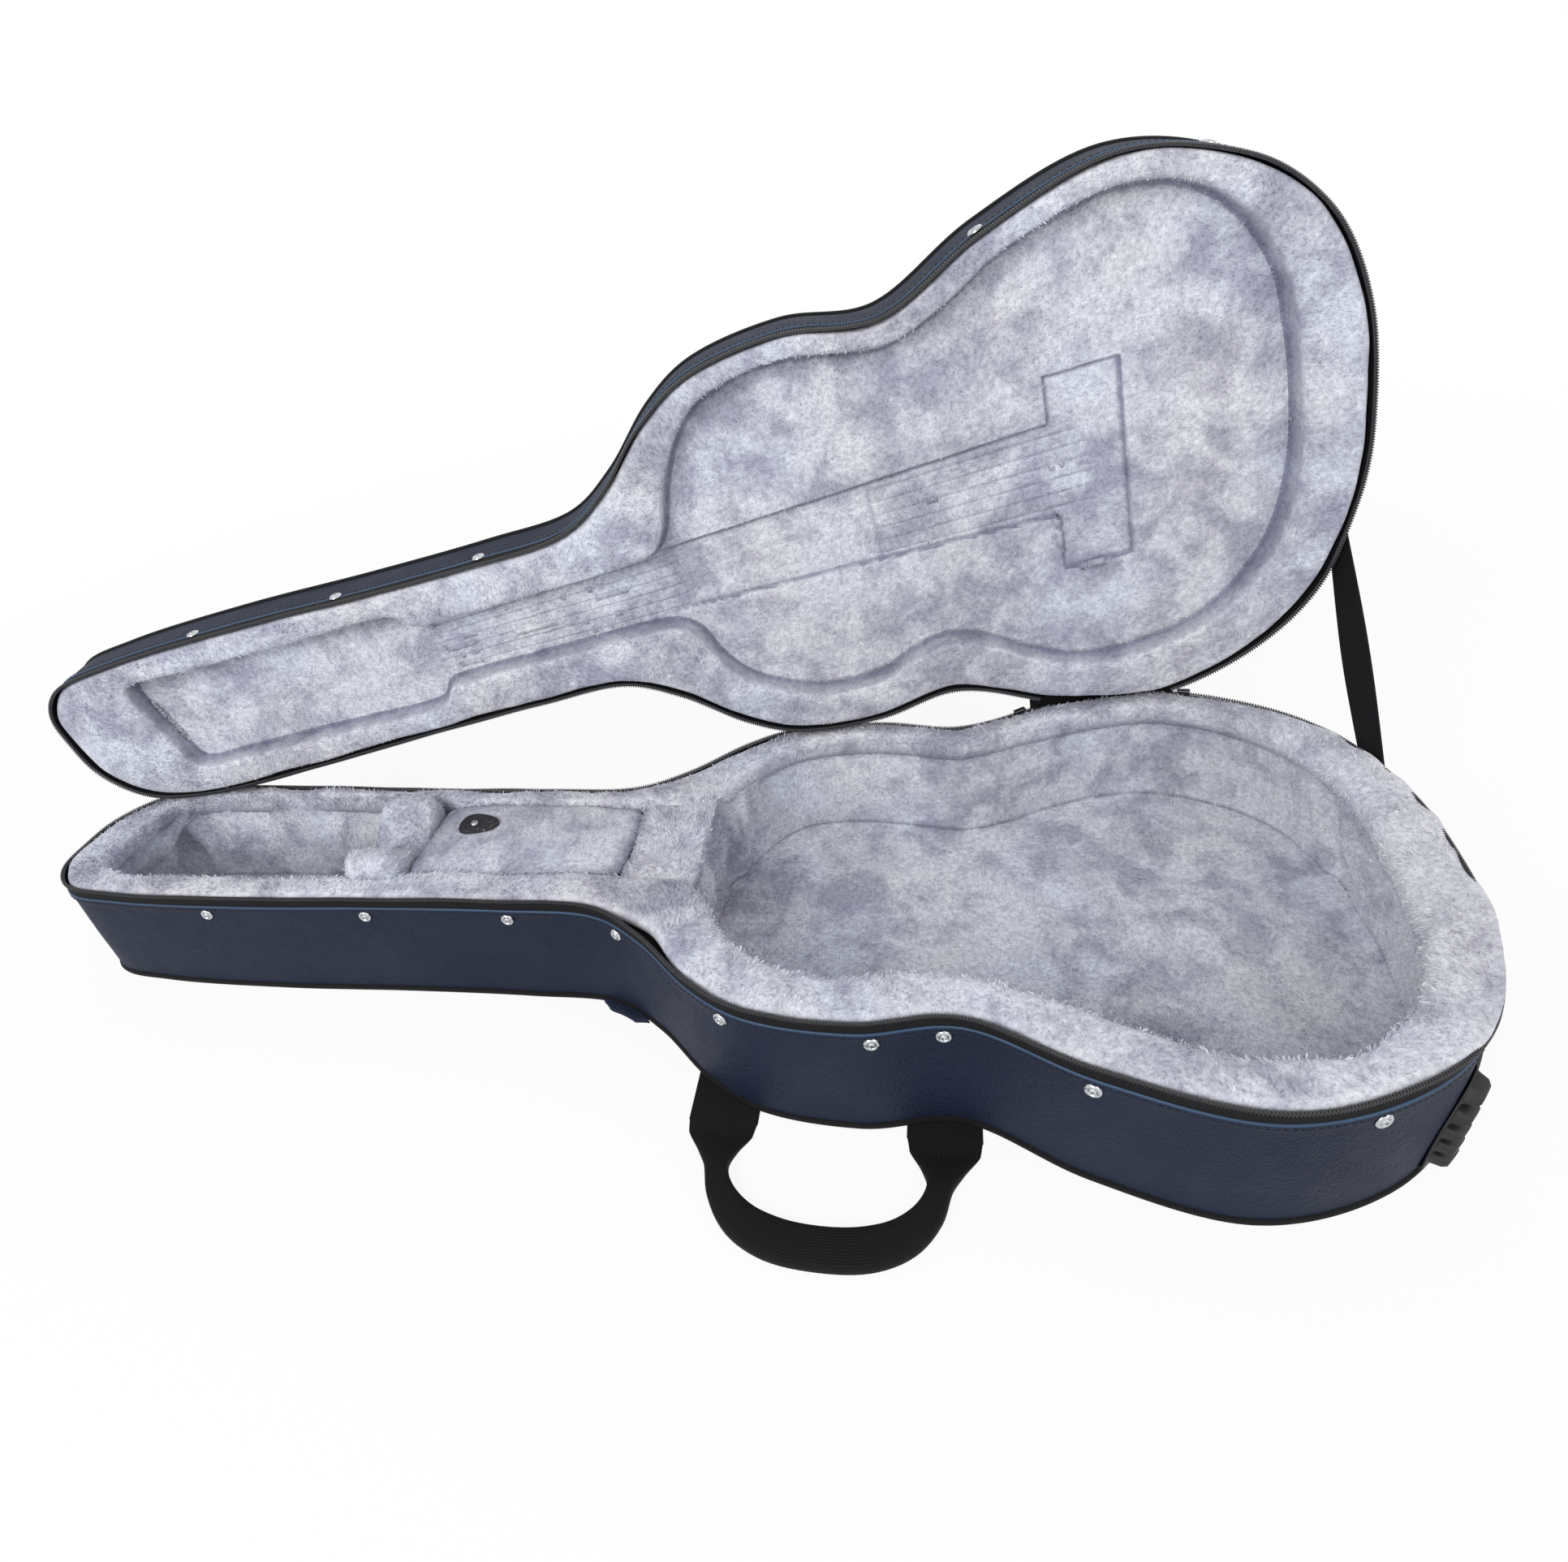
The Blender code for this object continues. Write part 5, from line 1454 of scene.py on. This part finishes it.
def makeFlapHinge(settings):
    x, z, width, length, thickness = settings["tape"]
    bm = bmesh.new()
    bmesh.ops.create_grid(bm, x_segments=4, y_segments=16, size=0.5)
    bmesh.ops.scale(bm, verts=bm.verts, vec=(width, length, 1))
    bmesh.ops.translate(bm, verts=bm.verts, vec=(x, 0, z))
    bm.loops.layers.uv.new("cloth")
    thicken(finishPiece("flap_hinge_tape", bm, webbing, "base"), thickness, 0)


makeNeckRest(restSettings)
makeBox(boxSettings)
makeFlap(boxSettings)
makePullTab(boxSettings)
makeHeel(heelSettings)
makeFlapHinge(boxSettings)
print("neck rest, box and flap made")


# Studs: a screw in a cup washer

studSettings = {
    "base": [0.166, 0.312, 0.432, 0.521, 0.612, 0.709, 0.751, 0.830, 0.9705],
    "lid": [0.166, 0.2985, 0.4275, 0.830, 0.9705],
    "drop": 0.0190,
    "lidDrop": 0.0125,
    "washer": [(0.0066, -0.0006), (0.0068, 0.0003), (0.0064, 0.0012), (0.0056, 0.0019), (0.0047, 0.0022),
               (0.0040, 0.0018), (0.0035, 0.0010), (0.0031, 0.0006)],
    "screw": [(0.0032, 0.0006), (0.0032, 0.0013), (0.0028, 0.0020), (0.0022, 0.0024), (0.0018, 0.0025)],
    "crossArm": (0.00040, 0.00150),     # half width and reach of the screw's cross
    "crossDepth": 0.0013,
    "standoff": 0.0006,
    "scale": 0.76,
    "turns": (0.7, 0.9),                # how far each stud's cross turns on from the last one's
}


def crossOutline(settings, z):
    wide, reach = settings["crossArm"]
    corner = [(reach, -wide), (reach, wide), (wide, wide)]
    points = []
    for quarter in range(4):
        turn = Matrix.Rotation(quarter * math.pi / 2, 2)
        points += [turn @ Vector(c) for c in corner]
    return [Vector((p.x, p.y, z)) for p in points]


def makeStud(name, x, height, turnBy, body, settings):
    bm = bmesh.new()
    spinProfile(bm, settings["washer"], 24)
    known = set(bm.verts)
    spinProfile(bm, settings["screw"], 12)
    top = settings["screw"][-1]
    rim = [e for e in bm.edges if e.is_boundary and all(v not in known for v in e.verts)
           and all(abs(v.co.z - top[1]) < 1e-6 for v in e.verts)]
    cross = [bm.verts.new(p) for p in crossOutline(settings, top[1])]
    crossEdges = [bm.edges.new((cross[i - 1], cross[i])) for i in range(len(cross))]
    bmesh.ops.bridge_loops(bm, edges=rim + crossEdges)
    dug = bmesh.ops.extrude_edge_only(bm, edges=crossEdges)
    deep = [v for v in dug["geom"] if isinstance(v, bmesh.types.BMVert)]
    bmesh.ops.translate(bm, verts=deep, vec=(0, 0, -settings["crossDepth"]))
    deepEdges = [e for e in dug["geom"] if isinstance(e, bmesh.types.BMEdge) and e.is_boundary]
    bmesh.ops.contextual_create(bm, geom=deepEdges)
    bmesh.ops.remove_doubles(bm, verts=bm.verts, dist=1e-6)
    faceTowards(bm, (0, 0, 1))
    place = sidePlace(x, -1, height, settings["standoff"]) @ Matrix.Rotation(turnBy, 4, "Z")
    place = place @ Matrix.Scale(settings["scale"], 4)
    bmesh.ops.transform(bm, matrix=place, verts=bm.verts)
    finishPiece(name, bm, brightSteel, body, sharp=35)


studHeights = (baseRim - studSettings["drop"], lidRim + studSettings["lidDrop"])
for body, height, turnBy in zip(("base", "lid"), studHeights, studSettings["turns"]):
    for number, x in enumerate(studSettings[body], 1):
        makeStud(f"{body}_stud_{number}", x, height, turnBy * number, body, studSettings)
print("studs made")


# Rubber guards at the tail corners

guardSettings = {
    "span": (1.008, 1.0595),
    "foot": 0.0095,
    "skin": 0.0027,
    "ridgeWidth": 0.0066,
    "near": ([0.0115, 0.0220, 0.0325, 0.0430, 0.0535], 0.0680),
    "far": ([0.0115, 0.0220, 0.0325, 0.0430], 0.0560),
    "columns": 70,
    # height past a ridge's lower edge, and the depth there in skins; the upper edge mirrors it
    "ridge": [(-0.0014, 1.0), (-0.0002, 1.05), (0.0, 1.9), (0.0006, 3.3), (0.0020, 3.8)],
    "crest": [(-0.0040, 1.0), (-0.0010, 0.9), (0.0, 0.5), (0.0, 0.0)],
    "inset": 0.0004,
    "leanBack": (0.06, 0.32),           # shares of the length, even and towards the top
    "ridgeSpan": (0.05, 0.08, 0.21, 0.25),
    "thickness": 0.0012,
}


def makeGuard(name, side, ridges, top, settings):
    indices = sideSpan(*settings["span"], side)
    places = [outline[i] for i in indices]
    outwards = [outlineNormals[i] for i in indices]
    if side > 0:
        places.reverse()
        outwards.reverse()
    total = lengthsOf(places, False)
    heights = [(settings["foot"], 0.0), (settings["foot"], 1.0)]
    for low in ridges:
        high = low + settings["ridgeWidth"]
        heights += [(low + past, depth) for past, depth in settings["ridge"]]
        heights += [(high - past, depth) for past, depth in reversed(settings["ridge"])]
    heights += [(top + past, depth) for past, depth in settings["crest"]]
    even, late = settings["leanBack"]
    spanFrom, spanIn, spanOut, spanTo = settings["ridgeSpan"]
    rows = []
    for z, depth in heights:
        row = []
        # the end nearer the middle of the side leans back with height
        up = (z - settings["foot"]) / (top - settings["foot"])
        first = total[-1] * (even * up + late * up ** 4)
        for k in range(settings["columns"]):
            share = k / (settings["columns"] - 1)
            distance = first + (total[-1] - first) * share
            p, n = placeAt(places, total, distance), placeAt(outwards, total, distance).normalized()
            reach = smoothStep(share, spanFrom, spanIn) * (1 - smoothStep(share, spanOut, spanTo))
            swell = depth if depth <= 1 else 1 + (depth - 1) * reach
            row.append((p + n * (settings["skin"] * swell - settings["inset"])).to_3d() + upward * z)
        rows.append(row)
    bm = gridSkin(rows)
    faceOutward(bm)
    thicken(finishPiece(name, bm, softRubber, "base", sharp=50), settings["thickness"])


makeGuard("tail_guard_near", -1, *guardSettings["near"], guardSettings)
makeGuard("tail_guard_far", 1, *guardSettings["far"], guardSettings)
print("guards made")


# Carry handle, its sewn ends, the stay strap and the hinge tape

handleSettings = {
    "legs": (0.603, 0.749),
    "pivotY": -0.1625,
    "height": 0.0003,
    # x past the leg, y, turn, width, thickness
    "path": [(0.0, -0.1612, -90, 0.0475, 0.0016), (0.0, -0.171, -90, 0.0440, 0.0022),
             (0.001, -0.184, -88, 0.0270, 0.0072), (0.003, -0.197, -82, 0.0155, 0.0112),
             (0.009, -0.213, -62, 0.0180, 0.0110), (0.023, -0.228, -35, 0.0230, 0.0095),
             (0.044, -0.237, -12, 0.026, 0.0082), (0.073, -0.240, 0, 0.026, 0.0082)],
    "anchorSlack": 0.0010,
    "anchorEnd": -0.100,
    "webbing": 0.0016,
    "webbingWidth": 0.048,
}


def makeHandle(settings):
    left, right = settings["legs"]
    height = settings["height"]
    path = [(left + x, y, a, w, t) for x, y, a, w, t in settings["path"]]
    path += [(right - x, y, -a, w, t) for x, y, a, w, t in reversed(settings["path"][:-1])]
    centres = smoothRun([(x, y, 0) for x, y, a, w, t in path], 6)
    values = smoothRun([(math.radians(a), w * 10, t * 100) for x, y, a, w, t in path], 6)
    rows = []
    for centre, (turn, width, thickness) in zip(centres, values):
        across = Vector((-math.sin(turn), math.cos(turn), 0))
        deep = thickness / 100
        middle = Vector((centre.x, centre.y, height + deep / 2))
        rows.append(strapSection(middle, across, upward, width / 10, deep))
    bm = ringSkin(rows)
    finishPiece("carry_handle", bm, webbing, "carry_handle", sharp=70)
    start, end = settings["pivotY"] + settings["anchorSlack"], settings["anchorEnd"]
    for label, x in (("left", left), ("right", right)):
        rows = []
        for k in range(15):
            middle = Vector((x, start + (end - start) * k / 14, height + settings["webbing"] / 2))
            rows.append(strapSection(middle, Vector((1, 0, 0)), upward, settings["webbingWidth"],
                                     settings["webbing"], 0.3))
        finishPiece(f"handle_anchor_{label}", ringSkin(rows), webbing, "base", sharp=70)


makeHandle(handleSettings)

strapSettings = {
    "x": 1.051,
    "width": 0.025,
    "standoff": 0.0028,
    "thickness": 0.0016,
    "baseEnd": -0.0130,                 # from the base's rim
    "lidEnd": 0.0150,                   # from the lid's rim
    "basePatch": (-0.0480, -0.0134),
    "lidPatch": (0.0154, 0.0400),
    "roundness": 0.3,
    "stitchOut": 0.0009,
    "stitchShare": 0.7,                 # of the patch's width and height
    "pitch": 0.0032,
    "stitch": (0.0011, 0.0004, 0.0003),
}


def boxStitch(bm, place, width, height, settings):
    # a sewn rectangle with its two diagonals
    quarters = ((-1, -1), (1, -1), (1, 1), (-1, 1))
    corners = [place @ Vector((width / 2 * x, height / 2 * y, 0)) for x, y in quarters]
    out = place.to_3x3() @ upward
    for a, b in ((0, 1), (1, 2), (2, 3), (3, 0), (0, 2), (1, 3)):
        sewLine(bm, [corners[a], corners[b]], [out, out], settings["pitch"], settings["stitch"], closed=False)


def makeStayStrap(settings):
    place = sidePlace(settings["x"], 1, 0, settings["standoff"])
    turn = place.to_3x3()
    along, normal = turn.col[0], turn.col[2]
    foot = place.translation
    swing = lidSwing.to_3x3()
    low = foot + upward * (baseRim + settings["baseEnd"])
    high = lidSwing @ (foot + upward * (lidRim + settings["lidEnd"]))
    size = (settings["width"], settings["thickness"], settings["roundness"])
    rows = []
    steps = 28
    for k in range(steps + 1):
        share = k / steps
        across = along.lerp(swing @ along, share).normalized()
        through = normal.lerp(swing @ normal, share).normalized()
        middle = low.lerp(high, share)
        rows.append(strapSection(middle, across, through, *size))
    strap = finishPiece("stay_strap", ringSkin(rows), webbing, None, sharp=70)
    for body, edge, span in (("base", baseRim, settings["basePatch"]), ("lid", lidRim, settings["lidPatch"])):
        name = "strap_anchor_" + body
        rows = []
        for k in range(11):
            z = edge + span[0] + (span[1] - span[0]) * k / 10
            rows.append(strapSection(foot + upward * z, along, normal, *size))
        finishPiece(name, ringSkin(rows), webbing, body, sharp=70)
        middle = foot + upward * (edge + (span[0] + span[1]) / 2) + normal * settings["stitchOut"]
        bm = bmesh.new()
        boxStitch(bm, Matrix.Translation(middle) @ turn.to_4x4(), settings["width"] * settings["stitchShare"],
                  (span[1] - span[0]) * settings["stitchShare"], settings)
        finishPiece(name + "_stitching", bm, sewingThread, body, standsForNode=False)
    return strap, low, high


strap, strapLow, strapHigh = makeStayStrap(strapSettings)

hingeTapeSettings = {
    "span": (0.822, 0.934),
    "standoff": 0.0010,
    "base": (-0.0200, -0.0010),
    "lid": (0.0210, 0.0320),
    "thickness": 0.0008,
    "overhang": 0.004,                  # how far it runs on past its span before it is cut even
}


def makeHingeTape(settings):
    first, last = settings["span"]
    indices = sideSpan(first - settings["overhang"], last + settings["overhang"], 1)
    run = [(outline[i] + outlineNormals[i] * settings["standoff"]).to_3d() for i in indices]
    run = evenRun(run, 40)
    stops = [[p + upward * (baseRim + z) for p in run] for z in settings["base"]]
    stops += [[lidSwing @ (p + upward * (lidRim + z)) for p in run] for z in settings["lid"]]
    rows = []
    for a, b in zip(stops, stops[1:]):
        rows += [[p.lerp(q, step / 6) for p, q in zip(a, b)] for step in range(6)]
    rows.append(stops[-1])
    bm = gridSkin(rows)
    faceTowards(bm, (0.85, 0.6, 0.2))
    bmesh.ops.smooth_vert(bm, verts=[v for v in bm.verts if not v.is_boundary], factor=0.5, use_axis_x=True,
                          use_axis_y=True, use_axis_z=True)
    bmesh.ops.solidify(bm, geom=bm.faces, thickness=settings["thickness"])
    tape = finishPiece("hinge_tape", bm, zipTape, None)
    start, end = (ontoFrame @ stop[len(run) // 2] for stop in stops[1:3])
    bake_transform(tape, "base", "lid", start=tuple(start), end=tuple(end))


makeHingeTape(hingeTapeSettings)
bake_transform(strap, "base", "lid", start=tuple(ontoFrame @ strapLow), end=tuple(ontoFrame @ strapHigh))
print("handle, strap and hinge tape made")


# Zip sliders with their pullers, and the folded tab at the foot of the side

sliderSettings = {
    "places": {"front": 0.8125, "rear": 0.9435},
    "size": (0.0098, 0.0042, 0.0062),
    "lift": 0.0006,
    "inset": 0.0007,
    "pullerOut": 0.0022,
    "pullerDrop": -0.0010,
    "pullerThickness": 0.0012,
    # drop and half width of the puller's outline
    "puller": [(-0.0010, 0.0016), (-0.0002, 0.0023), (0.0060, 0.0020), (0.0100, 0.0026), (0.0190, 0.0032),
               (0.0245, 0.0032), (0.0262, 0.0022)],
    "hole": (0.0205, 0.0013),
    "narrowing": 0.28,                  # how much narrower the slider's closed end is
    "bevel": 0.0008,
    # the slider's bridge: share of its length, width, height, and the share of its thickness where it stands
    "bridge": (0.55, 0.0016, 0.0016, 0.55),
    # past the hole's radius, and height over the puller's face
    "eyelet": [(0.0, 0.0001), (0.0005, 0.0004), (0.0011, 0.0001)],
}


def makeSlider(label, x, settings):
    bm = bmesh.new()
    bmesh.ops.create_cube(bm, size=1)
    length, thickness, height = settings["size"]
    bmesh.ops.scale(bm, verts=bm.verts, vec=(length, height, thickness))
    bmesh.ops.subdivide_edges(bm, edges=bm.edges, cuts=2, use_grid_fill=True)
    for vert in bm.verts:
        vert.co.y *= 1 - settings["narrowing"] * smoothStep(vert.co.x, -length / 2, length / 2)
    bmesh.ops.bevel(bm, geom=[e for e in bm.edges if e.calc_face_angle(0) > 0.6], offset=settings["bevel"],
                    affect="EDGES", segments=3, profile=0.5, material=-1)
    share, width, high, raised = settings["bridge"]
    bmesh.ops.create_cube(bm, size=1, matrix=Matrix.Translation((0, 0, thickness * raised))
                          @ Matrix.Diagonal((length * share, width, high, 1)))
    place = sidePlace(x, 1, baseRim + settings["lift"], -settings["inset"])
    bmesh.ops.transform(bm, matrix=place, verts=bm.verts)
    finishPiece(f"zip_slider_{label}", bm, dullSteel, "base", sharp=40)


def makePuller(label, x, settings):
    ring = [Vector((w, -d)) for d, w in settings["puller"]]
    ring += [Vector((-w, -d)) for d, w in reversed(settings["puller"])]
    half = settings["pullerThickness"] / 2
    bm = flatPlate(smoothRing(ring, 4), -half, half)
    softEdges(bm, 0.00035, 2, 60)
    holeAt, holeRadius = settings["hole"]
    spinProfile(bm, [(holeRadius + out, half + up) for out, up in settings["eyelet"]], 16)
    ringVerts = [v for v in bm.verts if v.co.z > half + 0.00005 and v.co.xy.length < holeRadius + 0.0012]
    bmesh.ops.translate(bm, verts=ringVerts, vec=(0, -holeAt, 0))
    place = sidePlace(x, 1, baseRim + settings["pullerDrop"], settings["pullerOut"])
    bmesh.ops.transform(bm, matrix=place, verts=bm.verts)
    name = f"zip_puller_{label}"
    finishPiece(name, bm, dullSteel, name, sharp=40)


for label, x in sliderSettings["places"].items():
    makeSlider(label, x, sliderSettings)
    makePuller(label, x, sliderSettings)

shoulderSettings = {
    "span": (0.488, 0.532),
    "out": (0.0016, 0.0092),
    "heights": (0.0006, 0.0058),
}


def makeShoulderTab(settings):
    indices = sideSpan(*settings["span"], -1)
    run = evenRun([outline[i] for i in indices], 16)
    outs = evenRun([outlineNormals[i] for i in indices], 16)
    low, high = settings["heights"]
    near, far = settings["out"]
    rows = []
    for k, (p, n) in enumerate(zip(run, outs)):
        share = k / (len(run) - 1)
        reach = (far - near) * min(1, 4.5 * share, 4.5 * (1 - share) + 0.1)
        section = []
        for depth, z in ((0.0, low), (0.55, low), (0.9, low + 0.0008), (1.0, (low + high) / 2),
                         (0.9, high - 0.0008), (0.55, high), (0.0, high)):
            section.append((p + n.normalized() * (near + reach * depth)).to_3d() + upward * z)
        rows.append(section)
    finishPiece("shoulder_tab", ringSkin(rows), navyLeather, "base", sharp=60)


makeShoulderTab(shoulderSettings)
print("sliders and tab made")

bpy.data.objects.remove(blade, do_unlink=True)
